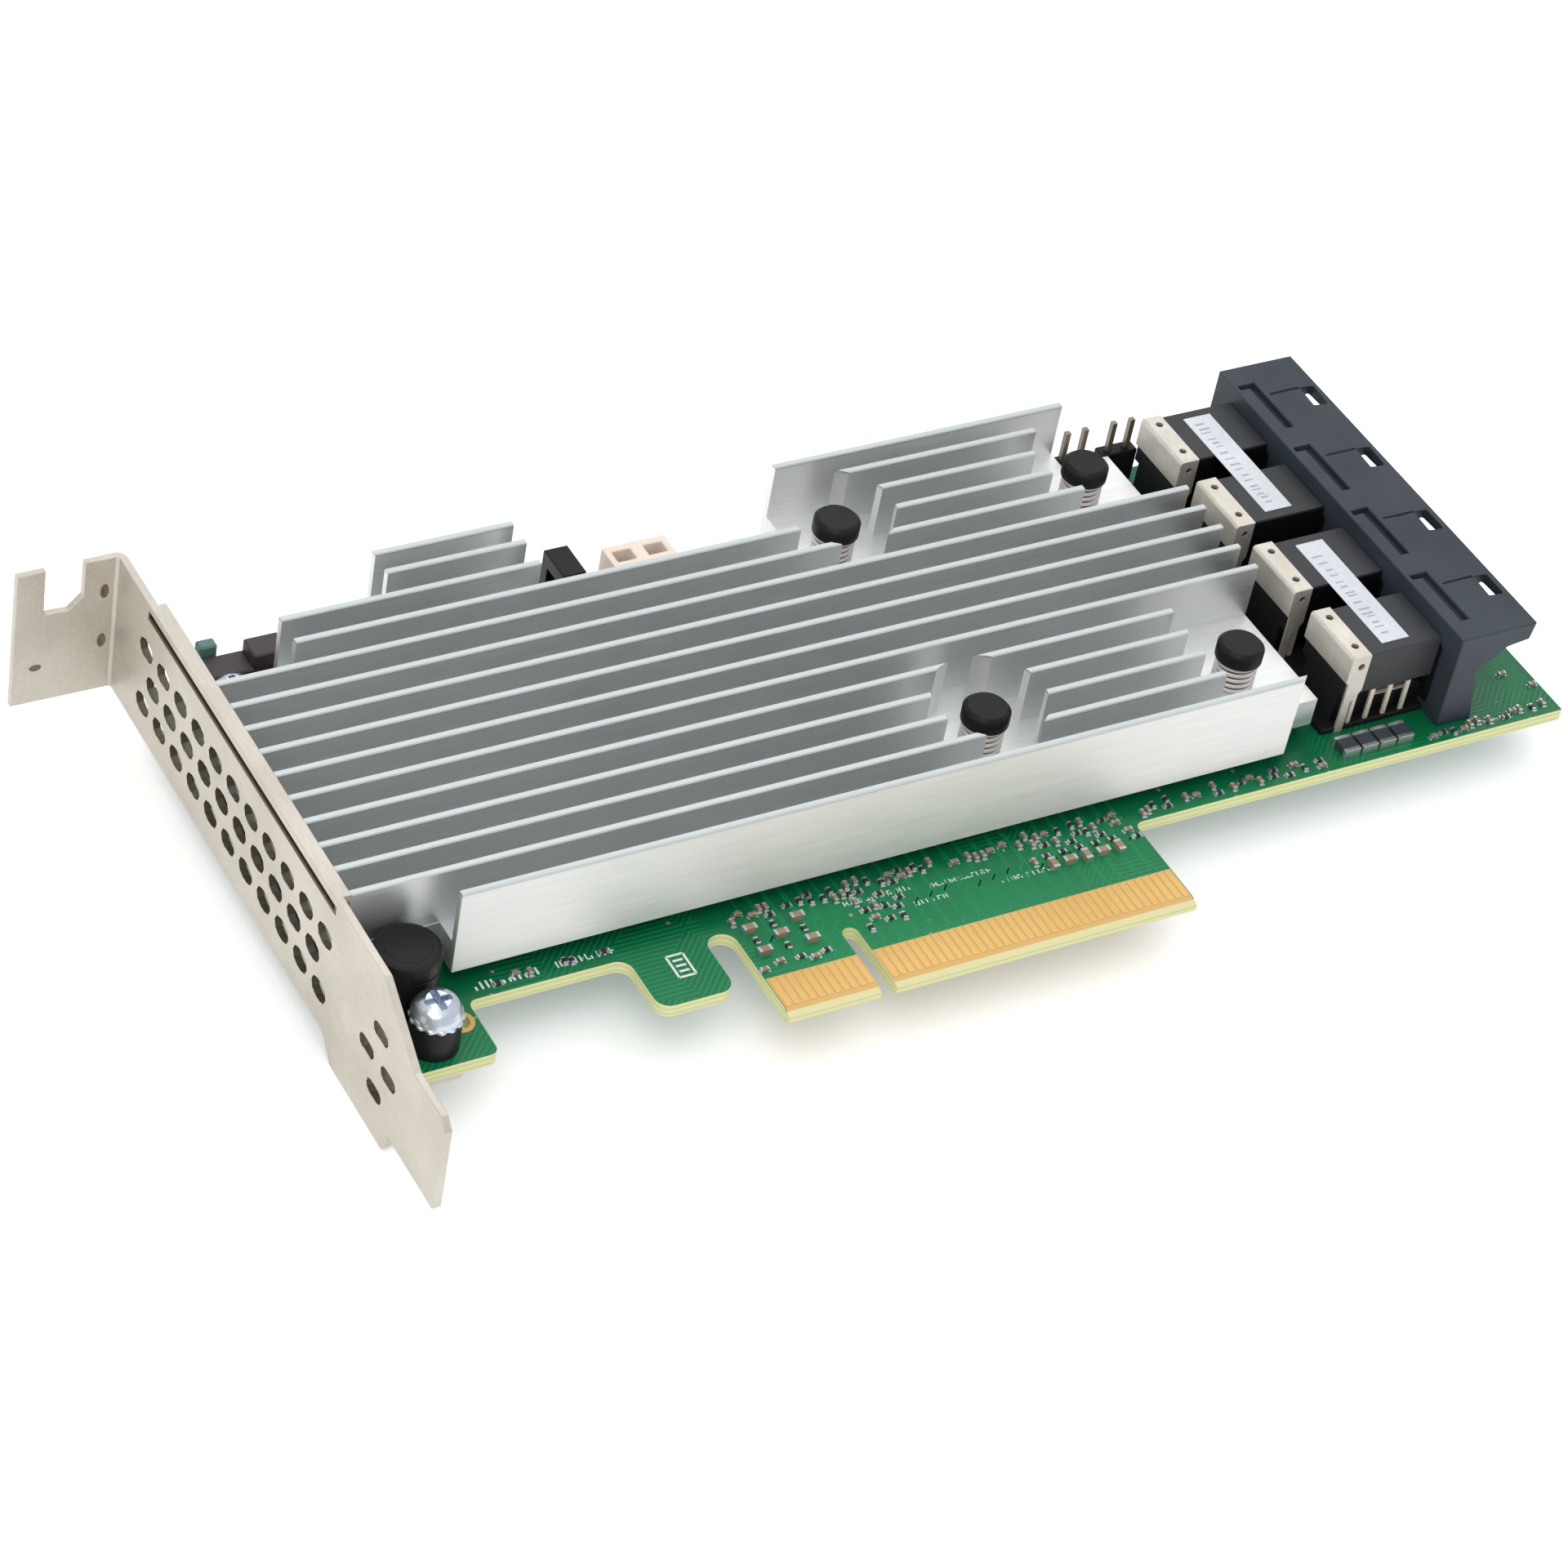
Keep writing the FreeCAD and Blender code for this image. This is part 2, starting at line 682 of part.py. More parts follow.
def sink_plan():
    # The plan steps round the buzzer, the rear screw, the far-edge sockets and the first header.
    c = mm.sink_chamfer
    front_right = sink_right - mm.sink_right_cut
    front_left = buzzer_x + mm.buzzer_diameter / 2 + mm.sink_buzzer_side
    left_low = buzzer_y + mm.buzzer_diameter / 2 + mm.sink_buzzer_gap
    step_low = fixing_ys[1] - fixing_reach - mm.sink_screw_gap
    step_high = block_front - mm.sink_block_gap
    back_left = block_left + mm.rear_block_width + mm.sink_block_side
    gap_left = mm.socket_x - mm.socket_width / 2 - mm.sink_socket_side
    gap_right = mm.plug_x + mm.plug_width / 2 + mm.sink_plug_side
    gap_floor = board_top - mm.edge_margin - mm.socket_depth - mm.sink_socket_back
    header_left = header_x - mm.header_pitch - mm.header_gap
    return rounded([
        (front_left, mm.sink_front), (front_right, mm.sink_front),
        (front_right + c, mm.sink_front + c), (sink_right, mm.sink_front + c),
        (sink_right, sink_back - c), (header_left, sink_back - c), (header_left, sink_back),
        (gap_right, sink_back), (gap_right, gap_floor), (gap_left, gap_floor),
        (gap_left, sink_back), (back_left, sink_back), (back_left, step_high),
        (front_left, step_high), (front_left, step_low), (sink_left, step_low),
        (sink_left, left_low), (front_left, left_low)])


def fin_comb():
    # Section across the fins: a slab with upright fins, the two outermost being thin walls.
    half, wall = mm.fin_thick / 2, mm.fin_thick
    front = mm.sink_front
    middle = (front + sink_back) / 2 + mm.fin_offset
    count = int((sink_back - front) / 2 / mm.fin_pitch)
    ys = [middle + i * mm.fin_pitch for i in range(-count, count + 1)]
    ys = [y for y in ys if front + 2 * wall < y - half and y + half < sink_back - 2 * wall]
    points = [(sink_back, sink_low), (front, sink_low), (front, mm.sink_top),
              (front + wall, mm.sink_top), (front + wall, sink_floor)]
    for y in ys:
        points += [(y - half, sink_floor), (y - half, mm.sink_top), (y + half, mm.sink_top),
                   (y + half, sink_floor)]
    points += [(sink_back - wall, sink_floor), (sink_back - wall, mm.sink_top),
               (sink_back, mm.sink_top)]
    return rounded(points)


def make_heatsink():
    sink = new_body("heatsink")
    fin_high = f"{cell('sink_top')} - {cell('sink_gap')} - {cell('sink_base')}"
    comb = sketch_on(sink, "YZ_Plane", fin_comb(), sink_left_cell)
    pad(sink, comb, f"{sink_right_cell} - {sink_left_cell}")
    # The plan outline trims slab and fins alike.
    around = rectangle(sink_left - past, mm.sink_front - past, sink_right + past, sink_back + past)
    pocket(sink, sketch_on(sink, "XY_Plane", around + sink_plan(), f"{cell('sink_top')} + {past}"),
           f"{cell('sink_top')} + {past}")
    # Fins are cleared round the push pins, and outwards of the pair nearest the ports.
    relief = []
    for x, y in pin_places:
        relief += circle(x, y, mm.pin_relief)
    pocket(sink, sketch_on(sink, "XY_Plane", relief, cell("sink_top")), fin_high)
    reach = mm.pin_relief / 2
    front, back = mm.pin_y, mm.pin_y + mm.pin_pitch_y
    corners = rectangle(pin_right - mm.front_corner_inset, mm.sink_front + mm.fin_thick,
                        sink_right + past, front + reach)
    corners += rectangle(pin_right - mm.rear_corner_inset, back - reach,
                         sink_right + past, sink_back - mm.fin_thick)
    pocket(sink, sketch_on(sink, "XY_Plane", corners, cell("sink_top")), fin_high)
    holes = []
    for x, y in pin_places:
        holes += circle(x, y, mm.pin_hole)
    pocket(sink, sketch_on(sink, "XY_Plane", holes, f"{cell('sink_gap')} + {cell('sink_base')}"),
           cell("sink_base"))


def make_push_pins():
    # Moulded pins: a round head, a shank through slab and board, and a split barb under the board.
    half, under = mm.pin_shank / 2, -mm.board_thick
    head, edge = mm.pin_head / 2, mm.pin_head_edge
    seat, crown = mm.pin_head_low, mm.pin_head_low + mm.pin_head_high
    section = [(0, under - mm.pin_tail), (mm.pin_tip / 2, under - mm.pin_tail),
               (mm.pin_barb / 2, under), (half, under), (half, seat), (head, seat),
               (head, crown - edge), (head - edge, crown), (0, crown)]
    for i, (x, y) in enumerate(pin_places):
        x_cell = f"{sink_right_cell} - {cell('pin_inset')} - {1 - i // 2} * {cell('pin_pitch_x')}"
        y_cell = f"{cell('pin_y')} + {i % 2} * {cell('pin_pitch_y')}"
        pin = new_body(f"push_pin_{i + 1}")
        turned(pin, rounded(section), x_cell, y_cell)
        slit = centred(x, y, mm.pin_slit, mm.pin_barb + past)
        pocket(pin, sketch_on(pin, "XY_Plane", slit, f"{below_board} - {cell('pin_tail')}"),
               f"{cell('pin_tail')} + {cell('board_thick')}", True)
        make_spring(f"pin_spring_{i + 1}", x, y)


def make_spring(name, x, y):
    # A coil from the slab up to the pin's head: a square wire that climbs evenly, in short straight
    # steps. Its inner and outer sides are flat at each step, and its upper and lower sides twist,
    # so each of those is two triangles.
    steps = int(mm.spring_turns * mm.spring_steps)
    outer, wire = mm.spring_outer / 2, mm.spring_wire
    corners = ((outer - wire, 0), (outer, 0), (outer, wire), (outer - wire, wire))
    sections = []
    for i in range(steps + 1):
        angle = 2 * math.pi * i / mm.spring_steps
        z = sink_floor + (mm.pin_head_low - sink_floor - wire) * i / steps
        sections.append([Vector(radius * math.cos(angle), radius * math.sin(angle), z + rise)
                         for radius, rise in corners])
    faces = [flat_face(sections[0][::-1]), flat_face(sections[-1])]
    for near, far in zip(sections, sections[1:]):
        for k in range(len(corners)):
            a, b, c, d = near[k - 1], near[k], far[k], far[k - 1]
            upright = corners[k - 1][0] == corners[k][0]
            faces += [flat_face([a, b, c, d])] if upright else [flat_face([a, b, c]),
                                                                flat_face([a, c, d])]
    coil = Part.makeSolid(Part.makeShell(faces))
    if coil.Volume < 0:
        coil.reverse()
    spring = doc.addObject("Part::Feature", name)
    spring.Label = name
    spring.Shape = coil
    spring.Placement = Placement(Vector(x, y, 0), Rotation())
    pieces.append(spring)


def flat_face(points):
    return Part.Face(Part.makePolygon(points + points[:1]))


# ---- controller and memory under the heatsink ----

def make_chips():
    x, y = mm.chip_x, mm.chip_y
    plan_piece("controller_package", centred(x, y, mm.chip_side, mm.chip_side), None,
               cell("chip_substrate"))
    plan_piece("controller_lid", centred(x, y, mm.chip_lid_side, mm.chip_lid_side, mm.chip_lid_corner),
               cell("chip_substrate"), cell("chip_lid"))
    plan_piece("controller_pad", centred(x, y, mm.chip_lid_side - mm.pad_margin,
                                         mm.chip_lid_side - mm.pad_margin),
               f"{cell('chip_substrate')} + {cell('chip_lid')}",
               f"{cell('sink_gap')} - {cell('chip_substrate')} - {cell('chip_lid')}")
    chips, pads = [], []
    count = int(mm.memory_count)
    for i in range(count):
        row_y = mm.chip_y + (i - (count - 1) / 2) * mm.memory_pitch
        row_x = mm.chip_x - mm.memory_offset
        chips += centred(row_x, row_y, mm.memory_length, mm.memory_width)
        pads += centred(row_x, row_y, mm.memory_length - mm.pad_margin, mm.memory_width - mm.pad_margin)
    plan_piece("memory_chips", chips, None, cell("memory_high"))
    plan_piece("memory_pads", pads, cell("memory_high"), f"{cell('sink_gap')} - {cell('memory_high')}")


def make_buzzer():
    buzzer = new_body("buzzer")
    radius, high, edge = mm.buzzer_diameter / 2, mm.buzzer_high, mm.buzzer_edge
    section = rounded([(0, 0), (radius, 0), (radius, high - edge), (radius - edge, high),
                       (mm.buzzer_port / 2, high), (mm.buzzer_port / 2, high / 2), (0, high / 2)])
    reach = "spacer_outer" if mm.spacer_outer > mm.screw_head else "screw_head"
    turned(buzzer, section, f"{fixing_x_cell} - {cell('buzzer_offset')}",
           f"{cell('fixing_y')} + {cell(reach)} / 2 + {cell('buzzer_gap')}"
           f" + {cell('buzzer_diameter')} / 2")


# ---- four-port cable receptacle ----

def make_housing():
    # One moulding: a roof with an overhanging lip, end walls, three walls between the ports and
    # a floor, drawn as a section and padded across all the ports.
    housing = new_body("port_housing")
    back, lip, high = housing_back, housing_lip, mm.housing_high
    nose, curve = mm.housing_high - mm.housing_nose, mm.housing_curve
    section = rounded([
        (back, 0), (back + mm.housing_foot, 0), (back + mm.housing_waist, mm.housing_waist_z, curve),
        (lip - mm.housing_brow, nose - mm.housing_brow_drop, curve),
        (lip - mm.housing_nose_slope, nose), (lip, high), (back, high)])
    side = f"{middle_cell} + {cell('housing_width')} / 2"
    pad(housing, sketch_on(housing, "XZ_Plane", section, f"-({side})"), cell("housing_width"))
    openings, mouths, windows, grooves, lines = [], [], [], [], []
    window_back = lip - mm.window_inset - mm.window_width / 2
    bar = back + mm.groove_inset
    for y in port_ys:
        half, top = mm.port_width / 2, mm.port_floor + mm.port_high
        openings += rectangle(y - half, mm.port_floor, y + half, top, mm.port_corner)
        mouths += rectangle(y - half, mm.port_floor, y + half, mm.mouth_top, mm.port_corner)
        windows += centred(lip - mm.window_inset, y, mm.window_width, mm.window_length,
                           mm.window_corner)
        # An angled groove behind each window, and a fine line that runs from it to the window.
        near, far = y - mm.groove_length / 2, y + mm.groove_length / 2
        right = bar + mm.groove_width
        grooves += rounded([(bar, near), (right, near), (right, far), (bar - mm.groove_arm, far),
                            (bar - mm.groove_arm, far - mm.groove_arm_width),
                            (bar, far - mm.groove_arm_width)])
        lines += rectangle(right + mm.line_gap, y + mm.line_offset, window_back,
                           y + mm.line_offset + mm.line_width)
    pocket(housing, sketch_on(housing, "YZ_Plane", openings, f"{back_cell} - {past}"),
           f"{cell('housing_depth')} + {2 * past}", True)
    # Towards the lip each port is taller, which leaves a thin brow over the plug's latch.
    mouth_back = f"{back_cell} + {cell('housing_depth')} - {cell('mouth_reach')}"
    pocket(housing, sketch_on(housing, "YZ_Plane", mouths, mouth_back),
           f"{cell('mouth_reach')} + {past}", True)
    pocket(housing, sketch_on(housing, "XY_Plane", windows, cell("housing_high")),
           f"{cell('housing_high')} - {cell('mouth_top')} + {past}")
    pocket(housing, sketch_on(housing, "XY_Plane", grooves, cell("housing_high")),
           cell("groove_depth"))
    pocket(housing, sketch_on(housing, "XY_Plane", lines, cell("housing_high")),
           cell("line_depth"))


def make_module(index, y):
    # An insulator block, undercut along both sides above the leads, with two card slots in front.
    module = new_body(f"port_module_{index}")
    half, narrow = mm.module_width / 2, mm.module_width / 2 - mm.module_undercut
    step = mm.module_undercut_high
    section = rounded([(y - narrow, 0), (y + narrow, 0), (y + narrow, step), (y + half, step),
                       (y + half, mm.module_high), (y - half, mm.module_high), (y - half, step),
                       (y - narrow, step)])
    pad(module, sketch_on(module, "YZ_Plane", section, module_cell), cell("module_length"))
    slots = []
    for level in range(2):
        low = mm.slot_low_z + level * mm.slot_pitch_z
        slots += rectangle(y - mm.slot_width / 2, low, y + mm.slot_width / 2, low + mm.slot_high)
    pocket(module, sketch_on(module, "YZ_Plane", slots, back_cell), cell("slot_depth"))

    # Sprung contacts line the upper and lower face of each slot.
    blades = []
    for level in range(2):
        low = mm.slot_low_z + level * mm.slot_pitch_z
        for z in (low, low + mm.slot_high - mm.blade_thick):
            for i in range(int(mm.blade_count)):
                middle = y + (i - (mm.blade_count - 1) / 2) * mm.blade_pitch
                blades += rectangle(middle - mm.blade_width / 2, z, middle + mm.blade_width / 2,
                                    z + mm.blade_thick)
    contacts = new_body(f"port_contacts_{index}")
    pad(contacts, sketch_on(contacts, "YZ_Plane", blades, f"{back_cell} - {cell('slot_depth')}"),
        cell("blade_length"))


def make_shield(index, y):
    # A bent plate over the module's rear edge: a top strip with two holes, a short skirt behind,
    # and a side tab whose leg runs down to the board.
    shield = new_body(f"port_shield_{index}")
    thick = mm.shield_thick
    back, top = module_back, mm.module_high
    strip = rounded([(back - thick, top - mm.shield_skirt), (back, top - mm.shield_skirt), (back, top),
                     (back + mm.shield_strip, top), (back + mm.shield_strip, top + thick),
                     (back - thick, top + thick, thick)], straight=True)
    side = f"{middle_cell} + {index - 1 - (port_count - 1) / 2} * {cell('port_pitch')}"
    pad(shield, sketch_on(shield, "XZ_Plane", strip, f"-({side} + {cell('module_width')} / 2)"),
        f"{cell('module_width')} + {cell('shield_thick')}")
    leg, width = mm.shield_leg, mm.shield_strip
    bend, slope = mm.module_undercut_high, mm.shield_leg_slope
    tab = rounded([(back, 0), (back + leg, 0), (back + leg, bend - slope),
                   (back + width, bend + slope), (back + width, top), (back, top)])
    pad(shield, sketch_on(shield, "XZ_Plane", tab, f"-({side} - {cell('module_width')} / 2)"),
        cell("shield_thick"))
    hole_x = back + mm.shield_strip / 2
    holes = []
    for offset in (-mm.shield_hole_reach, mm.shield_hole_reach):
        holes += eye(hole_x, y + offset, mm.shield_hole)
    pocket(shield, sketch_on(shield, "XY_Plane", holes,
                             f"{cell('module_high')} + {cell('shield_thick')}"), cell("shield_thick"))
    pocket(shield, sketch_on(shield, "XZ_Plane",
                             eye(hole_x, top - mm.shield_strip / 2, mm.shield_hole),
                             f"-({side} - {cell('module_width')} / 2 - {cell('shield_thick')})"),
           cell("shield_thick"))


def make_leads():
    # Leads come down both sides of each module, outside the undercut.
    plans = []
    for y in port_ys:
        for side in (-1, 1):
            inner = y + side * (mm.module_width / 2 - mm.module_undercut)
            for i in range(int(mm.lead_count)):
                x = module_back + mm.lead_first + i * mm.lead_pitch
                plans += centred(x, inner + side * (mm.module_undercut - mm.lead_thick / 2),
                                 mm.lead_width, mm.lead_thick)
    plan_piece("port_leads", plans, None, cell("module_undercut_high"))


def make_labels():
    # One blank label lies across each pair of modules.
    for i in range(port_count // 2):
        y = (port_ys[2 * i] + port_ys[2 * i + 1]) / 2
        x = module_back + mm.label_inset + mm.label_width / 2
        plan_piece(f"blank_label_{i + 1}", centred(x, y, mm.label_width, mm.label_length),
                   cell("module_high"), cell("label_thick"))


# ---- small connectors along the far edge ----

def make_headers():
    pin_plans, bases = [], []
    y = board_top - mm.edge_margin - mm.header_depth / 2
    for i in range(2):
        x = header_x + i * mm.header_spacing
        bases += centred(x, y, 2 * mm.header_pitch, mm.header_depth)
        for side in (-0.5, 0.5):
            pin_plans += centred(x + side * mm.header_pitch, y, mm.header_pin, mm.header_pin)
    base = plan_piece("pin_header_bases", bases, None, cell("header_base"))
    pocket(base, sketch_on(base, "XY_Plane", pin_plans, cell("header_base")), cell("header_base"))
    plan_piece("pin_header_pins", pin_plans, None, cell("header_top"))


def make_far_edge_parts():
    far = board_top - mm.edge_margin
    socket_y = far - mm.socket_depth / 2
    socket = plan_piece("shrouded_socket",
                        centred(mm.socket_x, socket_y, mm.socket_width, mm.socket_depth),
                        None, cell("socket_high"))
    mouth = centred(socket_y, mm.mouth_z, mm.mouth_width, mm.mouth_high)
    pocket(socket, sketch_on(socket, "YZ_Plane", mouth,
                             f"{cell('socket_x')} - {cell('socket_width')} / 2 - {past}"),
           f"{cell('mouth_depth')} + {past}", True)

    plug_y = far - mm.plug_depth / 2
    plug = plan_piece("two_way_header", centred(mm.plug_x, plug_y, mm.plug_width, mm.plug_depth),
                      None, cell("plug_high"))
    wells = []
    for side in (-0.5, 0.5):
        wells += centred(mm.plug_x + side * mm.well_pitch, plug_y, mm.well_width, mm.well_depth)
    pocket(plug, sketch_on(plug, "XY_Plane", wells, cell("plug_high")), cell("well_sink"))

    # The stepped socket stands behind the rear fixing.
    block = new_body("stepped_socket")
    step, high, low = block_left + mm.rear_block_step, mm.rear_block_high, mm.rear_block_step_high
    right = block_left + mm.rear_block_width
    section = rounded([(block_left, 0), (right, 0), (right, high), (step, high), (step, low),
                       (block_left, low)])
    reach = "spacer_outer" if mm.spacer_outer > mm.screw_head else "screw_head"
    block_back = (f"-({cell('fixing_y')} + {cell('fixing_pitch')} + {cell(reach)} / 2"
                  f" + {cell('rear_block_gap')} + {cell('rear_block_depth')})")
    pad(block, sketch_on(block, "XZ_Plane", section, block_back), cell("rear_block_depth"))


# ---- small surface-mounted parts ----

def capacitor(x, y, upright=False):
    length, width = mm.capacitor_length, mm.capacitor_width
    return centred(x, y, width, length) if upright else centred(x, y, length, width)


def resistor(x, y, upright=False):
    length, width = mm.resistor_length, mm.resistor_width
    return centred(x, y, width, length) if upright else centred(x, y, length, width)


def make_surface_parts():
    capacitors, resistors = [], []
    # Between the latch notch and the keying notch: rows of alternating parts.
    for row in range(int(mm.front_group_rows)):
        for column in (-1, 0, 1):
            x = mm.front_group_x + column * mm.front_group_pitch_x
            y = mm.front_group_y + row * mm.front_group_pitch_y
            if (row + column) % 2:
                capacitors += capacitor(x, y)
            else:
                resistors += resistor(x, y, upright=True)
    # At the right end of the card edge.
    for column in range(int(mm.corner_group_count)):
        x = mm.corner_group_x + column * mm.corner_group_pitch
        capacitors += capacitor(x, mm.corner_group_y, upright=column % 2 == 0)
        resistors += resistor(x, mm.corner_group_y + 2 * mm.capacitor_width)
    plan_piece("front_capacitors", capacitors, None, cell("capacitor_high"))
    plan_piece("front_resistors", resistors, None, cell("resistor_high"))

    # A row of filter blocks stands beside the first port module.
    filters = []
    front = port_ys[0] - mm.module_width / 2 - mm.filter_gap - mm.filter_width / 2
    for i in range(int(mm.filter_count)):
        filters += centred(module_back + mm.filter_inset + (i - 0.5) * mm.filter_pitch, front,
                           mm.filter_length, mm.filter_width)
    plan_piece("filter_blocks", filters, None, cell("filter_high"))

    # Under the board: decoupling capacitors behind the controller, and one coupling capacitor
    # behind every second contact of the card edge.
    under = []
    count = int(mm.decoupling_count)
    for row in range(count):
        for column in range(count):
            under += capacitor(mm.chip_x + (column - (count - 1) / 2) * mm.decoupling_pitch,
                               mm.chip_y + (row - (count - 1) / 2) * mm.decoupling_pitch)
    x = mm.contact_first + mm.coupling_pitch
    while x < mm.edge_right - mm.coupling_pitch:
        under += resistor(x, mm.coupling_y, upright=True)
        x += mm.coupling_pitch
    plan_piece("underside_capacitors", under, f"{below_board} - {cell('capacitor_high')}",
               cell("capacitor_high"))
    plan_piece("underside_memory_chip",
               centred(mm.memory_store_x, mm.memory_store_y, mm.memory_store_length,
                       mm.memory_store_width),
               f"{below_board} - {cell('memory_store_high')}", cell("memory_store_high"))


def finish():
    # Nothing is written unless every object and every piece is sound.
    doc.recompute()
    for item in doc.Objects:
        if "Invalid" in item.State or "Error" in item.State:
            raise RuntimeError(f"{item.Name}: {item.State}")
    for piece in pieces:
        if piece.Shape.isNull() or not piece.Shape.isValid() or not piece.Shape.Solids:
            raise RuntimeError(f"{piece.Label} has no sound solid")
        piece.Shape.exportStep(f"parts/{piece.Label}.step")


make_board()
make_contacts()
make_bracket()
make_fixings()
make_heatsink()
make_push_pins()
make_chips()
make_buzzer()
make_housing()
for number, port_y in enumerate(port_ys, start=1):
    make_module(number, port_y)
    make_shield(number, port_y)
make_leads()
make_labels()
make_headers()
make_far_edge_parts()
make_surface_parts()
finish()
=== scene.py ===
import json
import math

import bmesh
import bpy
import numpy as np
from mathutils import Matrix, Vector


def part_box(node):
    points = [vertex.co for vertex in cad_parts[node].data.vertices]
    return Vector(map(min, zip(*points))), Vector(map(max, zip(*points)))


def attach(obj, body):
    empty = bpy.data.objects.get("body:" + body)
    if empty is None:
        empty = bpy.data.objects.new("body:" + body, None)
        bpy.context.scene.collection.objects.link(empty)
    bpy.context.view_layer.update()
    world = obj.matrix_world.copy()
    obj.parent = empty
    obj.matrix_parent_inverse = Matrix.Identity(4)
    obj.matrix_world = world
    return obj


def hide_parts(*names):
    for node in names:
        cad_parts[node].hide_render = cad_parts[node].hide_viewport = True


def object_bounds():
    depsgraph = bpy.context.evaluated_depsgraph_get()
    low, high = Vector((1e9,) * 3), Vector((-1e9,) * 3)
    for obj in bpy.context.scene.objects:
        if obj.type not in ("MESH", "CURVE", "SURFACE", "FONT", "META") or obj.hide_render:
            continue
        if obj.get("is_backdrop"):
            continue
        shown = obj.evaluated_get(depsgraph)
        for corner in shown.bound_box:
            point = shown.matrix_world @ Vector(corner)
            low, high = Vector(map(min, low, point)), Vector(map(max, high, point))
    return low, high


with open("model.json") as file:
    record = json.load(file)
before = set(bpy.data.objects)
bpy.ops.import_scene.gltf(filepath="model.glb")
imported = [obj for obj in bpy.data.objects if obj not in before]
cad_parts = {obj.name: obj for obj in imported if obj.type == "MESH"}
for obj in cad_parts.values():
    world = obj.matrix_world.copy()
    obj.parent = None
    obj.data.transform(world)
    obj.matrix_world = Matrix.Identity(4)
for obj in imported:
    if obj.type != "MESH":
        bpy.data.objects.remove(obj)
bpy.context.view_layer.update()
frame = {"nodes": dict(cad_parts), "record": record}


mil = 0.001  # one millimetre
nodes = frame["nodes"]
random = np.random.default_rng(41)
print("frame loaded:", len(nodes), "nodes")


def boxOf(node):
    # A node's lowest and highest corners in millimetres.
    low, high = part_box(node)
    return np.array(low) / mil, np.array(high) / mil


# Shader helpers
def newMaterial(name):
    material = bpy.data.materials.new(name)
    material.use_nodes = True
    return material, material.node_tree, material.node_tree.nodes["Principled BSDF"]


def plug(tree, node, inputs):
    for key, value in inputs.items():
        if isinstance(value, bpy.types.NodeSocket):
            tree.links.new(value, node.inputs[key])
        else:
            node.inputs[key].default_value = value


def addNode(tree, kind, inputs=None, **settings):
    node = tree.nodes.new(kind)
    for key, value in settings.items():
        setattr(node, key, value)
    plug(tree, node, inputs or {})
    return node


def work(tree, operation, *values):
    return addNode(tree, "ShaderNodeMath", dict(enumerate(values)), operation=operation).outputs[0]


def mixColours(tree, factor, first, second):
    first, second = (colour if isinstance(colour, bpy.types.NodeSocket) else (*colour, 1)
                     for colour in (first, second))
    return addNode(tree, "ShaderNodeMix", {0: factor, 6: first, 7: second},
                   data_type="RGBA").outputs[2]


def spread(tree, value, low, high, start=0.0, end=1.0):
    # Takes start..end of a value to low..high, held at both ends.
    return addNode(tree, "ShaderNodeMapRange", {"Value": value, "From Min": start, "From Max": end,
                                                "To Min": low, "To Max": high}).outputs["Result"]


def between(tree, value, low, high):
    # One where the value lies between the two bounds, else nought.
    return work(tree, "MULTIPLY", work(tree, "GREATER_THAN", value, low),
                work(tree, "LESS_THAN", value, high))


def axes(tree):
    # Object coordinates, their three parts, and how squarely the surface faces each axis (0 to 1).
    place = addNode(tree, "ShaderNodeTexCoord").outputs["Object"]
    split = addNode(tree, "ShaderNodeSeparateXYZ", {0: place})
    facing = addNode(tree, "ShaderNodeSeparateXYZ",
                     {0: addNode(tree, "ShaderNodeNewGeometry").outputs["Normal"]})
    spot = {axis.lower(): split.outputs[axis] for axis in "XYZ"}
    square = {axis.lower(): work(tree, "ABSOLUTE", facing.outputs[axis]) for axis in "XYZ"}
    return place, spot, square


def newGroup(name, inputs, outputs):
    group = bpy.data.node_groups.new(name, "ShaderNodeTree")
    for label, kind, value in inputs:
        socket = group.interface.new_socket(name=label, in_out="INPUT", socket_type=kind)
        socket.default_value = value
    for label, kind in outputs:
        group.interface.new_socket(name=label, in_out="OUTPUT", socket_type=kind)
    return group, group.nodes.new("NodeGroupInput"), group.nodes.new("NodeGroupOutput")


def makeGrainGroup():
    # Fine noise stretched by a vector, and a broad cloud of slow variation.
    group, start, end = newGroup("surfaceGrain", (
        ("Scale", "NodeSocketFloat", 4000.0), ("Stretch", "NodeSocketVector", (1, 1, 1)),
        ("Cloud Scale", "NodeSocketFloat", 60.0)),
        (("Grain", "NodeSocketFloat"), ("Cloud", "NodeSocketFloat")))
    place = addNode(group, "ShaderNodeTexCoord").outputs["Object"]
    stretched = addNode(group, "ShaderNodeVectorMath", {0: place, 1: start.outputs["Stretch"]},
                        operation="MULTIPLY").outputs[0]
    fine = addNode(group, "ShaderNodeTexNoise", {"Vector": stretched, "Detail": 4.0,
                                                 "Roughness": 0.6, "Scale": start.outputs["Scale"]})
    cloud = addNode(group, "ShaderNodeTexNoise", {"Vector": place, "Detail": 3.0,
                                                  "Scale": start.outputs["Cloud Scale"]})
    group.links.new(fine.outputs["Fac"], end.inputs["Grain"])
    group.links.new(spread(group, cloud.outputs["Fac"], 0.0, 1.0, 0.35, 0.65), end.inputs["Cloud"])
    return group


grainGroup = makeGrainGroup()


def grainNode(tree, scale, stretch=(1, 1, 1), cloudScale=60.0):
    node = addNode(tree, "ShaderNodeGroup", {"Scale": scale, "Stretch": stretch,
                                             "Cloud Scale": cloudScale}, node_tree=grainGroup)
    return node.outputs["Grain"], node.outputs["Cloud"]


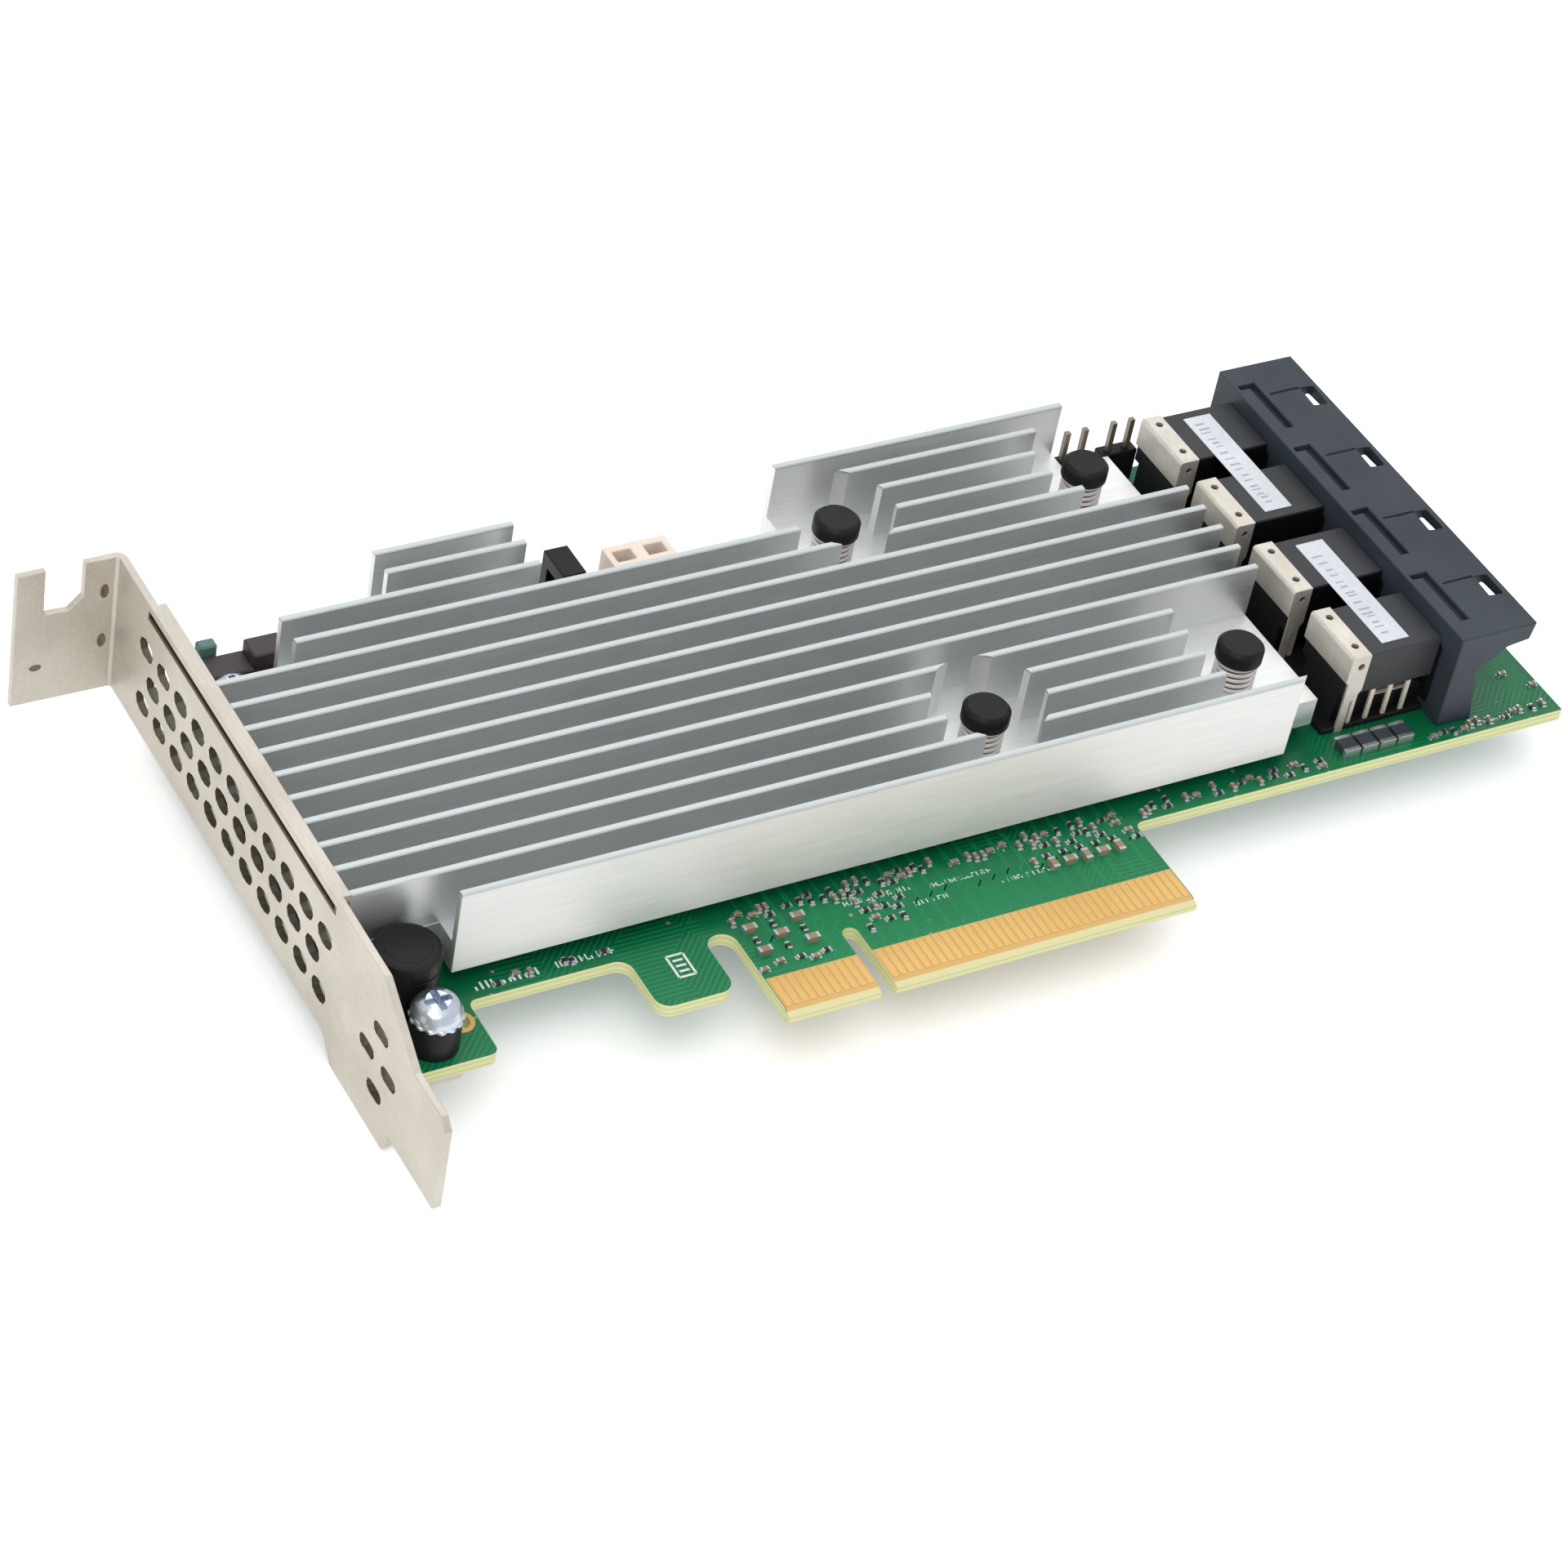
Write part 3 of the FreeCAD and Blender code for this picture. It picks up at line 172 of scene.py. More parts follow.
def addBump(tree, shader, height, strength, distance):
    bump = addNode(tree, "ShaderNodeBump", {"Height": height, "Strength": strength,
                                            "Distance": distance})
    plug(tree, shader, {"Normal": bump.outputs["Normal"]})


def finish(name, colour, shade, roughness, metallic=0.0, scale=3000.0, stretch=(1, 1, 1), bump=0.2,
           depth=0.02, cloudScale=60.0, roughSpread=0.1, gloss=0.5, speckle=0.12):
    # Colour drifts slowly to its shade, roughness follows the grain, which also lifts the surface.
    material, tree, shader = newMaterial(name)
    grain, cloud = grainNode(tree, scale, stretch, cloudScale)
    base = mixColours(tree, spread(tree, grain, speckle, 0.0, 0.3, 0.7),
                      mixColours(tree, cloud, colour, shade), (0.02, 0.02, 0.02))
    plug(tree, shader, {
        "Base Color": base, "Metallic": metallic, "Specular IOR Level": gloss,
        "Roughness": spread(tree, grain, roughness - roughSpread, roughness + roughSpread)})
    addBump(tree, shader, grain, bump, depth * mil)
    return material


boardLook = {
    "mask": (0.003, 0.205, 0.072), "maskDark": (0.002, 0.140, 0.050),
    # painted shade beside the heatsink's front wall: its colour, where it starts and ends along y,
    # its share
    "maskPaintedShade": (0.001, 0.060, 0.024), "paintedShadeFrom": 12.5, "paintedShadeTo": 15.5, "paintedShadeShare": 0.45,
    "trace": (0.010, 0.27, 0.10), "traceScale": 520.0, "patchScale": 150.0,
    "via": (0.30, 0.34, 0.16), "viaScale": 520.0, "viaFree": 0.62, "viaSize": (0.10, 0.15),
    "bare": (0.62, 0.39, 0.13), "bevel": (0.66, 0.60, 0.33), "bevelTop": 0.75,
    "edge": (0.50, 0.56, 0.26), "edgeBand": (0.66, 0.66, 0.36), "layers": 9000.0,
    "roughness": 0.30, "edgeRoughness": 0.75, "gloss": 0.35}


def makeBoardMaterial(look):
    # Solder mask over copper: faint parallel traces in patches, pinprick vias, bare laminate
    # between the edge contacts, a pale bevel, and layered laminate on upright edges; painted shade
    # darkens the mask along the heatsink's front wall.
    material, tree, shader = newMaterial("solderMask")
    place, spot, square = axes(tree)
    grain, cloud = grainNode(tree, 5000.0, cloudScale=45.0)
    cells = addNode(tree, "ShaderNodeTexVoronoi", {"Vector": place, "Scale": look["patchScale"]})
    turned = addNode(tree, "ShaderNodeVectorRotate", {"Vector": place, "Angle": math.radians(45)},
                     rotation_type="Z_AXIS").outputs["Vector"]
    waves = [addNode(tree, "ShaderNodeTexWave", {"Vector": vector, "Scale": look["traceScale"]},
                     bands_direction=way).outputs["Color"]
             for vector, way in ((place, "Y"), (turned, "X"))]
    pick = spread(tree, cells.outputs["Color"], 0.0, 1.0, 0.45, 0.5)
    lines = spread(tree, mixColours(tree, pick, waves[0], waves[1]), 0.0, 0.5, 0.55, 0.8)
    traces = work(tree, "MULTIPLY", lines, spread(tree, cloud, 0.0, 1.0, 0.55, 0.75))
    dots = addNode(tree, "ShaderNodeTexVoronoi", {"Vector": place, "Scale": look["viaScale"]})
    vias = spread(tree, dots.outputs["Distance"], 1.0, 0.0, *look["viaSize"])
    chosen = work(tree, "GREATER_THAN", dots.outputs["Color"], look["viaFree"])
    # Painted shade: the mask darkens towards the heatsink's front wall.
    paintedWallShade = spread(tree, spot["y"], 0.0, look["paintedShadeShare"],
                        look["paintedShadeFrom"] * mil, look["paintedShadeTo"] * mil)
    low, high = boxOf("edge_contacts_top")
    amongContacts = work(tree, "MULTIPLY",
                         between(tree, spot["x"], (low[0] - 0.2) * mil, (high[0] + 0.2) * mil),
                         work(tree, "LESS_THAN", spot["y"], (high[1] + 0.1) * mil))
    atBevel = work(tree, "LESS_THAN", spot["y"], look["bevelTop"] * mil)
    mask = mixColours(tree, cloud, look["mask"], look["maskDark"])
    for share, colour in ((paintedWallShade, "maskPaintedShade"), (traces, "trace"),
                          (work(tree, "MULTIPLY", vias, chosen), "via"),
                          (amongContacts, "bare"), (atBevel, "bevel")):
        mask = mixColours(tree, share, mask, look[colour])
    layers = work(tree, "SINE", work(tree, "MULTIPLY", spot["z"], look["layers"]))
    laminate = mixColours(tree, spread(tree, layers, 0.0, 1.0, 0.2, 0.9),
                          look["edgeBand"], look["edge"])
    isFace = spread(tree, square["z"], 0.0, 1.0, 0.2, 0.3)
    plug(tree, shader, {
        "Base Color": mixColours(tree, isFace, laminate, mask), "Specular IOR Level": look["gloss"],
        "Roughness": spread(tree, isFace, look["edgeRoughness"], look["roughness"])})
    addBump(tree, shader, work(tree, "ADD", traces, grain), 0.3, 0.02 * mil)
    return material


sinkLook = {
    "milled": (0.90, 0.91, 0.91), "milledShade": (0.82, 0.83, 0.83), "milledMetal": 0.72,
    # web: the fin flanks inside the channels, a darker grey that is painted shade
    "web": (0.78, 0.80, 0.80), "webShade": (0.73, 0.75, 0.75), "webMetal": 0.88,
    "front": (0.80, 0.80, 0.785), "frontLessMetal": 0.22, "frontMoreRough": 0.15,
    "finTop": (0.56, 0.60, 0.60), "roughness": 0.40,
    # depths in from the outside: the outer front face, the rear wall, the tops of the fins
    "frontDepth": 0.35, "rearDepth": 1.4, "topDepth": 0.3}


def makeSinkMaterial(look):
    # The fin flanks inside the channels carry painted shade, a darker and more metallic grey;
    # the fin tops have a grey of their own, while the milled pockets and the outer front wall are
    # bright; drawing lines run along the fins everywhere.
    material, tree, shader = newMaterial("drawnAluminium")
    spot, square = axes(tree)[1:]
    grain, cloud = grainNode(tree, 2200.0, (0.06, 1, 1), 35.0)
    low, high = boxOf("heatsink")
    frontEnd = (low[1] + look["frontDepth"]) * mil
    outer = work(tree, "LESS_THAN", spot["y"], frontEnd)
    inner = work(tree, "MULTIPLY", spread(tree, square["y"], 0.0, 1.0, 0.85, 0.95),
                 between(tree, spot["y"], frontEnd, (high[1] - look["rearDepth"]) * mil))
    onTop = work(tree, "GREATER_THAN", spot["z"], (high[2] - look["topDepth"]) * mil)
    base = mixColours(tree, cloud, look["milled"], look["milledShade"])
    # Painted shade: fin flanks inside the channels take a darker grey than the outer front wall.
    paintedChannelShade = mixColours(tree, cloud, look["web"], look["webShade"])
    for share, colour in ((outer, look["front"]), (onTop, look["finTop"]), (inner, paintedChannelShade),
                          (spread(tree, grain, 0.09, 0.0, 0.3, 0.7), (0.05, 0.05, 0.05))):
        base = mixColours(tree, share, base, colour)
    metal = work(tree, "SUBTRACT", spread(tree, inner, look["milledMetal"], look["webMetal"]),
                 work(tree, "MULTIPLY", outer, look["frontLessMetal"]))
    rough = work(tree, "ADD",
                 spread(tree, grain, look["roughness"] - 0.1, look["roughness"] + 0.1),
                 work(tree, "MULTIPLY", outer, look["frontMoreRough"]))
    plug(tree, shader, {"Base Color": base, "Metallic": metal, "Roughness": rough})
    addBump(tree, shader, grain, 0.22, 0.03 * mil)
    return material


bracketPlate = {"face": -56.65, "thick": 0.86}
bracketLook = {
    "nickel": (0.66, 0.62, 0.55), "shade": (0.57, 0.53, 0.465), "metal": 0.7,
    "roughness": (0.34, 0.56),
    # painted shade: a dark line in the crease and dark walls in the vent holes
    "paintedCreaseShade": (0.10, 0.06, 0.035), "paintedVentShade": (0.13, 0.115, 0.085),
    # the crease: its run along y, its edges' depths below the top, its reach in from the face
    "creaseRun": (19.0, 67.6), "creaseBelow": (2.05, 0.9), "creaseReach": (-0.1, 0.6),
    # the two vent fields: low y, high y, low z, high z
    "vents": [(18.5, 70.0, -2.2, 9.2), (2.0, 11.6, -3.4, 7.2)]}


def makeBracketMaterial(look):
    # Nickel-plated sheet: warm satin grey with faint rolling lines, dulled patches, painted shade
    # as a dark line down in the pressed crease, and painted shade on the walls of the vent holes.
    material, tree, shader = newMaterial("nickelSheet")
    spot, square = axes(tree)[1:]
    grain, cloud = grainNode(tree, 2600.0, (1, 0.25, 1), 90.0)
    top = boxOf("slot_bracket")[1][2]
    plate = bracketPlate["face"]
    base = mixColours(tree, cloud, look["nickel"], look["shade"])
    base = mixColours(tree, spread(tree, grain, 0.16, 0.0, 0.3, 0.7), base, (0.10, 0.08, 0.06))

    def within(axis, low, high):
        return between(tree, spot[axis], low * mil, high * mil)

    reachIn, reachOut = look["creaseReach"]
    below, above = look["creaseBelow"]
    inCrease = work(tree, "MULTIPLY", within("x", plate + reachIn, plate + reachOut),
                    within("z", top - below, top - above))
    inCrease = work(tree, "MULTIPLY", inCrease, within("y", *look["creaseRun"]))
    # Painted shade down in the crease.
    base = mixColours(tree, inCrease, base, look["paintedCreaseShade"])
    inVents = 0.0
    for lowY, highY, lowZ, highZ in look["vents"]:
        field = work(tree, "MULTIPLY", within("y", lowY, highY), within("z", lowZ, highZ))
        inVents = work(tree, "ADD", inVents, field)
    inVents = work(tree, "MULTIPLY", inVents, within("x", plate, plate + bracketPlate["thick"]))
    inVents = work(tree, "MULTIPLY", inVents, work(tree, "LESS_THAN", square["x"], 0.4))
    # Painted shade on the vent walls.
    base = mixColours(tree, inVents, base, look["paintedVentShade"])
    plug(tree, shader, {"Base Color": base, "Roughness": spread(tree, grain, *look["roughness"]),
                        "Metallic": look["metal"]})
    addBump(tree, shader, grain, 0.25, 0.03 * mil)
    return material


moulded = {"scale": 3500.0, "bump": 0.3, "depth": 0.03}
materials = {
    "board": makeBoardMaterial(boardLook),
    "gold": finish("goldPlate", (0.74, 0.47, 0.16), (0.68, 0.42, 0.14), 0.40, metallic=0.75,
                   scale=5000.0, stretch=(1, 0.1, 1), bump=0.15),
    "bracket": makeBracketMaterial(bracketLook),
    "steel": finish("brightZinc", (0.66, 0.72, 0.82), (0.54, 0.60, 0.70), 0.24, metallic=0.95,
                    scale=4000.0, bump=0.15),
    "heatsink": makeSinkMaterial(sinkLook),
    "black_plastic": finish("blackNylon", (0.008, 0.008, 0.009), (0.012, 0.012, 0.013), 0.36,
                            gloss=0.17, **moulded),
    "grey_plastic": finish("charcoalPolymer", (0.040, 0.051, 0.067), (0.030, 0.038, 0.050), 0.42,
                           cloudScale=110.0, gloss=0.24, **moulded),
    "beige_plastic": finish("creamNylon", (0.86, 0.74, 0.64), (0.80, 0.68, 0.58), 0.5,
                            scale=2800.0),
    "chip": finish("chipMoulding", (0.016, 0.017, 0.019), (0.026, 0.027, 0.030), 0.55,
                   scale=6000.0, bump=0.3),
    "pad": finish("softPad", (0.30, 0.36, 0.40), (0.24, 0.30, 0.34), 0.8, scale=2400.0, bump=0.4),
    "shield": finish("tinStrip", (0.74, 0.70, 0.63), (0.62, 0.58, 0.51), 0.38, metallic=0.55,
                     stretch=(1, 0.3, 1), cloudScale=180.0),
    "label": finish("labelPaper", (0.70, 0.73, 0.78), (0.63, 0.66, 0.71), 0.6, scale=2500.0,
                    bump=0.15, depth=0.01, cloudScale=150.0),
    "ceramic": finish("capacitorCeramic", (0.34, 0.25, 0.16), (0.26, 0.19, 0.12), 0.5,
                      scale=5000.0),
    "ferrite": finish("ferriteBlock", (0.040, 0.052, 0.070), (0.026, 0.034, 0.046), 0.45,
                      scale=5000.0),
    "ink": finish("whiteInk", (0.80, 0.84, 0.80), (0.70, 0.76, 0.70), 0.6),
    "greyInk": finish("greyInk", (0.36, 0.38, 0.45), (0.46, 0.48, 0.54), 0.6),
    "solder": finish("solderTin", (0.72, 0.74, 0.74), (0.60, 0.62, 0.63), 0.30, metallic=0.9,
                     scale=4000.0, bump=0.3),
    "lead": finish("tinnedLead", (0.86, 0.77, 0.66), (0.74, 0.65, 0.55), 0.38, metallic=0.4,
                   scale=4000.0),
    "pin": finish("dullPin", (0.30, 0.26, 0.21), (0.22, 0.19, 0.16), 0.40, metallic=0.7,
                  scale=4000.0),
    "coveredTrace": finish("coveredTrace", (0.008, 0.27, 0.10), (0.006, 0.21, 0.075), 0.30,
                           scale=5000.0, gloss=0.35),
    "springWire": finish("springWire", (0.80, 0.76, 0.72), (0.70, 0.66, 0.63), 0.4, metallic=0.4,
                         scale=4000.0),
    # the dimples' dark colour is painted shade
    "paintedDimpleShade": finish("paintedDimpleShade", (0.22, 0.17, 0.13), (0.14, 0.11, 0.08), 0.45,
                           metallic=0.6),
    "teal": finish("tealMoulding", (0.12, 0.24, 0.21), (0.10, 0.19, 0.17), 0.5, scale=3500.0),
    "brownBlock": finish("brownMoulding", (0.055, 0.040, 0.042), (0.040, 0.030, 0.032), 0.5,
                         scale=3500.0),
    "module": finish("modulePolymer", (0.043, 0.046, 0.051), (0.033, 0.036, 0.040), 0.45,
                     cloudScale=110.0, gloss=0.26, **moulded)}

# painted shade for the module flanks
moduleLook = {"gapShade": (0.005, 0.005, 0.006), "outerSide": 0.4}


def darkenFlanks(material, start, look):
    # Painted shade: the sides of the modules that look across their gaps, and their narrow ends,
    # are left nearly black; the first module's outer side keeps its colour.
    tree = material.node_tree
    shader = tree.nodes["Principled BSDF"]
    spot, square = axes(tree)[1:]
    inGap = work(tree, "MULTIPLY", work(tree, "GREATER_THAN", square["y"], 0.5),
                 work(tree, "GREATER_THAN", spot["y"], start * mil))
    dark = work(tree, "MAXIMUM", inGap, spread(tree, square["x"], 0.0, 0.7, 0.4, 0.6))
    base = shader.inputs["Base Color"].links[0].from_socket
    plug(tree, shader, {"Base Color": mixColours(tree, dark, base, look["gapShade"])})


darkenFlanks(materials["module"], boxOf("port_module_1")[0][1] + moduleLook["outerSide"],
             moduleLook)

ports = range(1, 5)
nodeLooks = {"port_leads": "lead", "pin_header_pins": "pin", "stepped_socket": "brownBlock"}
for index in ports:
    nodeLooks[f"port_module_{index}"] = "module"
    nodeLooks[f"port_contacts_{index}"] = "lead"
slotOf = {entry["node"]: entry["material_slot"] for entry in frame["record"]["subparts"]}
for node, slotName in slotOf.items():
    mesh = nodes[node].data
    mesh.materials.clear()
    mesh.materials.append(materials[nodeLooks.get(node, slotName)])
print("materials made:", len(materials))


# Pieces
def newObject(name, data):
    thing = bpy.data.objects.new(name, data)
    bpy.context.scene.collection.objects.link(thing)
    return thing


def addPiece(name, mesh, slotName, look=None, smooth=False, stands=()):
    mesh.materials.append(materials[look or slotName])
    if smooth:
        mesh.polygons.foreach_set("use_smooth", np.ones(len(mesh.polygons), bool))
    piece = newObject(name, mesh)
    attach(piece, "root")
    if stands:
        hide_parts(*stands)
    return piece


def makeMesh(name, points, *faceGroups):
    mesh = bpy.data.meshes.new(name)
    mesh.from_pydata((np.reshape(points, (-1, 3)) * mil).tolist(), [],
                     [face for group in faceGroups for face in group.tolist()])
    mesh.update()
    return mesh


def ringFaces(rows, columns):
    # Quads of a rows x columns grid whose columns close round.
    i, j = np.meshgrid(np.arange(rows - 1), np.arange(columns), indexing="ij")
    k, here, above = (j + 1) % columns, i * columns, (i + 1) * columns
    return np.stack([here + j, here + k, above + k, above + j], axis=-1).reshape(-1, 4)


def fanFaces(start, centre, steps, upward):
    # Triangles from a ring of points that starts at one index to its centre at another.
    here = np.arange(steps)
    after = (here + 1) % steps
    first, second = (here, after) if upward else (after, here)
    return np.stack([start + first, start + second, np.full(steps, centre)], axis=-1)


def wheel(steps):
    # Evenly spaced angles round a full turn.
    return np.arange(steps) / steps * 2 * math.pi


def repeatFaces(faces, count, step):
    return (faces[None] + np.arange(count)[:, None, None] * step).reshape(-1, faces.shape[1])


def readOut(items, key, width=1, kind=float):
    # One value, or one row, for each item of a mesh's list.
    values = np.zeros(len(items) * width, kind)
    items.foreach_get(key, values)
    return values if width == 1 else values.reshape(-1, width)


def pointsOf(mesh):
    return readOut(mesh.vertices, "co", 3) / mil


def edgeTurns(mesh):
    # The angle between the normals of the two faces at each edge; nought where there aren't two.
    edgeOf = readOut(mesh.loops, "edge_index", kind=int)
    corners = readOut(mesh.polygons, "loop_total", kind=int)
    normals = readOut(mesh.polygons, "normal", 3)
    order = np.argsort(edgeOf, kind="stable")
    faces = np.repeat(np.arange(len(corners)), corners)[order]
    first = np.searchsorted(edgeOf[order], np.arange(len(mesh.edges)))
    paired = np.bincount(edgeOf, minlength=len(mesh.edges)) == 2
    one, other = normals[faces[first[paired]]], normals[faces[first[paired] + 1]]
    turns = np.zeros(len(mesh.edges))
    turns[paired] = np.arccos(np.clip(np.sum(one * other, axis=1), -1, 1))
    return turns


def softenedCopy(node, width, least=1.0, sharp=28, topOnly=False, sliver=None):
    # The node's triangles merged, flat areas joined again, and a small bevel along the sharp edges
    # that are at least so long; topOnly keeps it to the highest ones. A sliver (two corners and a
    # level) is pressed down flat first.
    mesh = nodes[node].data.copy()
    mesh.name = f"{node}_dressed"
    if sliver:
        low, high, level = sliver
        points = pointsOf(mesh)
        inside = np.all((points > low) & (points < high), axis=1)
        points[inside, 2] = level
        mesh.vertices.foreach_set("co", (points * mil).reshape(-1))
    shape = bmesh.new()
    shape.from_mesh(mesh)
    bmesh.ops.remove_doubles(shape, verts=shape.verts, dist=0.002 * mil)
    bmesh.ops.dissolve_limit(shape, angle_limit=math.radians(0.6), verts=shape.verts,
                             edges=shape.edges)
    shape.to_mesh(mesh)
    shape.free()
    mesh.materials.clear()
    piece = addPiece(f"{node}_dressed", mesh, slotOf[node], nodeLooks.get(node), stands=(node,))

    points = pointsOf(mesh)
    ends = readOut(mesh.edges, "vertices", 2, int)
    lengths = np.linalg.norm(points[ends[:, 0]] - points[ends[:, 1]], axis=1)
    chosen = (edgeTurns(mesh) > math.radians(sharp)) & (lengths > least)
    if topOnly:
        chosen &= points[ends, 2].min(axis=1) > boxOf(node)[1][2] - 0.01
    weights = mesh.attributes.new("bevel_weight_edge", "FLOAT", "EDGE")
    weights.data.foreach_set("value", chosen.astype(float))
    bevel = piece.modifiers.new("edgeBevel", "BEVEL")
    bevel.width = width * mil
    bevel.segments = 1
    bevel.limit_method = "WEIGHT"
    bevel.use_clamp_overlap = False
    bevel.miter_outer = "MITER_SHARP"
    return piece


bevels = {"slot_bracket": 0.09, "port_housing": 0.10, "controller_lid": 0.1,
          "two_way_header": 0.12, "pin_header_bases": 0.15,
          "blank_label_1": 0.02, "blank_label_2": 0.02, "memory_chips": 0.08}
sinkCopy = {"width": 0.13, "least": 2.0, "topOnly": True,
            "sliver": ((20.7, 64.9, 5.9), (22.0, 65.85, 13.1), 5.8)}
for node, width in bevels.items():
    softenedCopy(node, width)
softenedCopy("heatsink", **sinkCopy)
for index in ports:
    softenedCopy(f"port_module_{index}", 0.15)
    softenedCopy(f"port_shield_{index}", 0.07)
    softenedCopy(f"push_pin_{index}", 0.10, least=0.4)
print("sharp edges eased")


def latheParts(profile, steps):
    # A profile of (radius, height) carried round the upright axis: x = r cos a, y = r sin a. Both
    # ends are closed by fans to a point on the axis.
    profile = np.array(profile, float)
    angle = wheel(steps)
    radius = profile[:, :1] * np.ones(steps)
    points = np.stack([radius * np.cos(angle), radius * np.sin(angle),
                       profile[:, 1:] * np.ones(steps)], axis=-1).reshape(-1, 3)
    rows = len(profile)
    points = np.vstack([points, [0, 0, profile[0, 1]], [0, 0, profile[-1, 1]]])
    fans = np.vstack([fanFaces(0, rows * steps, steps, False),
                      fanFaces((rows - 1) * steps, rows * steps + 1, steps, True)])
    return points, ringFaces(rows, steps), fans


def addTurned(name, profile, places, slotName, look=None, steps=32, smooth=False, stands=(),
              dent=None):
    # dent: a function of the points that reshapes them before they are placed.
    points, quads, fans = latheParts(profile, steps)
    if dent:
        points = dent(points)
    places = np.array(places, float)
    spots = (points[None] + places[:, None]).reshape(-1, 3)
    mesh = makeMesh(name, spots, repeatFaces(quads, len(places), len(points)),
                    repeatFaces(fans, len(places), len(points)))
    return addPiece(name, mesh, slotName, look, smooth, stands)


def cornerBox():
    # A box whose 12 edges are cut: every corner becomes three points, one kept out along each axis.
    signs = np.array([[x, y, z] for x in (-1, 1) for y in (-1, 1) for z in (-1, 1)], float)
    quads = []
    for axis in range(3):
        u, v = (axis + 1) % 3, (axis + 2) % 3
        for side in (-1, 1):
            flat = [c for c in range(8) if signs[c, axis] == side]
            flat.sort(key=lambda c: math.atan2(signs[c, v], signs[c, u]))
            quads.append([3 * c + axis for c in flat])
        for sideU in (-1, 1):
            for sideV in (-1, 1):
                first, second = [c for c in range(8)
                                 if signs[c, u] == sideU and signs[c, v] == sideV]
                quads.append([3 * first + u, 3 * second + u, 3 * second + v, 3 * first + v])
    corners = [[3 * c, 3 * c + 1, 3 * c + 2] for c in range(8)]
    points = (signs[:, None] * (1 - 0.3 * (1 - np.eye(3)))).reshape(-1, 3)

    def outward(faces):
        faces = np.array(faces)
        a, b, c = (points[faces[:, k]] for k in range(3))
        flip = np.einsum("ij,ij->i", np.cross(b - a, c - b), points[faces].mean(1)) < 0
        faces[flip] = faces[flip][:, ::-1]
        return faces

    return signs, outward(quads), outward(corners)


boxSigns, boxQuads, boxCorners = cornerBox()


def addBoxes(name, centres, extents, slotName, look=None, cut=0.04, turns=None, stands=()):
    # centres and extents: one row of three per box, in millimetres; turns: angles about the
    # upright; cut: how much the edges lose.
    centres, extents = np.array(centres, float), np.array(extents, float)
    half = extents[:, None, None, :] / 2
    points = boxSigns[None, :, None, :] * (half - cut * (1 - np.eye(3))[None, None])
    points = points.reshape(len(centres), 24, 3)
    if turns is not None:
        cos, sin = np.cos(turns)[:, None], np.sin(turns)[:, None]
        points = np.stack([points[..., 0] * cos - points[..., 1] * sin,
                           points[..., 0] * sin + points[..., 1] * cos, points[..., 2]], axis=-1)
    points = points + centres[:, None]
    count = len(centres)
    mesh = makeMesh(name, points, repeatFaces(boxQuads, count, 24),
                    repeatFaces(boxCorners, count, 24))
    return addPiece(name, mesh, slotName, look, stands=stands)


def addRibbons(name, paths, width, low, high, slotName, look=None):
    # paths: (count, steps, 2). Each path is widened by half its width along the mitre of the two
    # runs that meet, and the flat strip is given a floor and a ceiling.
    paths = np.array(paths, float)
    count, steps = paths.shape[:2]
    runs = np.diff(paths, axis=1)
    runs /= np.linalg.norm(runs, axis=2, keepdims=True)
    before = np.concatenate([runs[:, :1], runs], axis=1)
    following = np.concatenate([runs, runs[:, -1:]], axis=1)
    side = np.stack([-before[..., 1], before[..., 0]], axis=-1)
    nextSide = np.stack([-following[..., 1], following[..., 0]], axis=-1)
    mitre = (side + nextSide) / (1 + np.sum(side * nextSide, axis=-1, keepdims=True))
    left, right = paths + mitre * width / 2, paths - mitre * width / 2
    section = np.stack([np.concatenate([edge, np.full((count, steps, 1), z)], -1)
                        for edge, z in ((left, low), (left, high), (right, high), (right, low))],
                       axis=2)
    quads = ringFaces(steps, 4)
    caps = np.array([[0, 3, 2, 1], [0, 1, 2, 3]]) + np.array([[0], [(steps - 1) * 4]])
    mesh = makeMesh(name, section, repeatFaces(np.vstack([quads, caps]), count, steps * 4))
    return addPiece(name, mesh, slotName, look)


springLook = {"wire": 0.52, "turns": 5.5, "sides": 8, "steps": 150, "flatShare": 0.12}


def makeSpring(index, look):
    # A wire along a helix: its centre runs on a circle that climbs evenly and lies flat at both
    # ends, and its section is a circle in the plane of the radius and the upright.
    low, high = boxOf(f"pin_spring_{index}")
    wire, sides, steps = look["wire"] / 2, look["sides"], look["steps"]
    centre = (low + high) / 2
    radius = (high[0] - low[0]) / 2 - wire
    along = np.linspace(0, 1, steps)
    angle = along * look["turns"] * 2 * math.pi
    climbing = np.clip((along - look["flatShare"]) / (1 - 2 * look["flatShare"]), 0, 1)
    climb = low[2] + wire + climbing * (high[2] - low[2] - 2 * wire)
    ring = wheel(sides)
    out = radius + wire * np.cos(ring)[None, :]
    points = np.stack([centre[0] + out * np.cos(angle)[:, None],
                       centre[1] + out * np.sin(angle)[:, None],
                       climb[:, None] + wire * np.sin(ring)[None, :]], axis=-1)
    points = np.vstack([points.reshape(-1, 3), points[0].mean(0), points[-1].mean(0)])
    caps = np.vstack([fanFaces(0, steps * sides, sides, True),
                      fanFaces((steps - 1) * sides, steps * sides + 1, sides, False)])
    mesh = makeMesh(f"coilSpring{index}", points, ringFaces(steps, sides)[:, ::-1], caps)
    addPiece(f"coilSpring{index}", mesh, "steel", "springWire", smooth=True,
             stands=(f"pin_spring_{index}",))


for index in ports:
    makeSpring(index, springLook)
print("springs wound")

buzzerLook = {"rim": 0.5, "seam": 5.9, "seamDepth": 0.12, "foot": 0.2, "crown": 2.6,
              "crownHigh": 0.06}


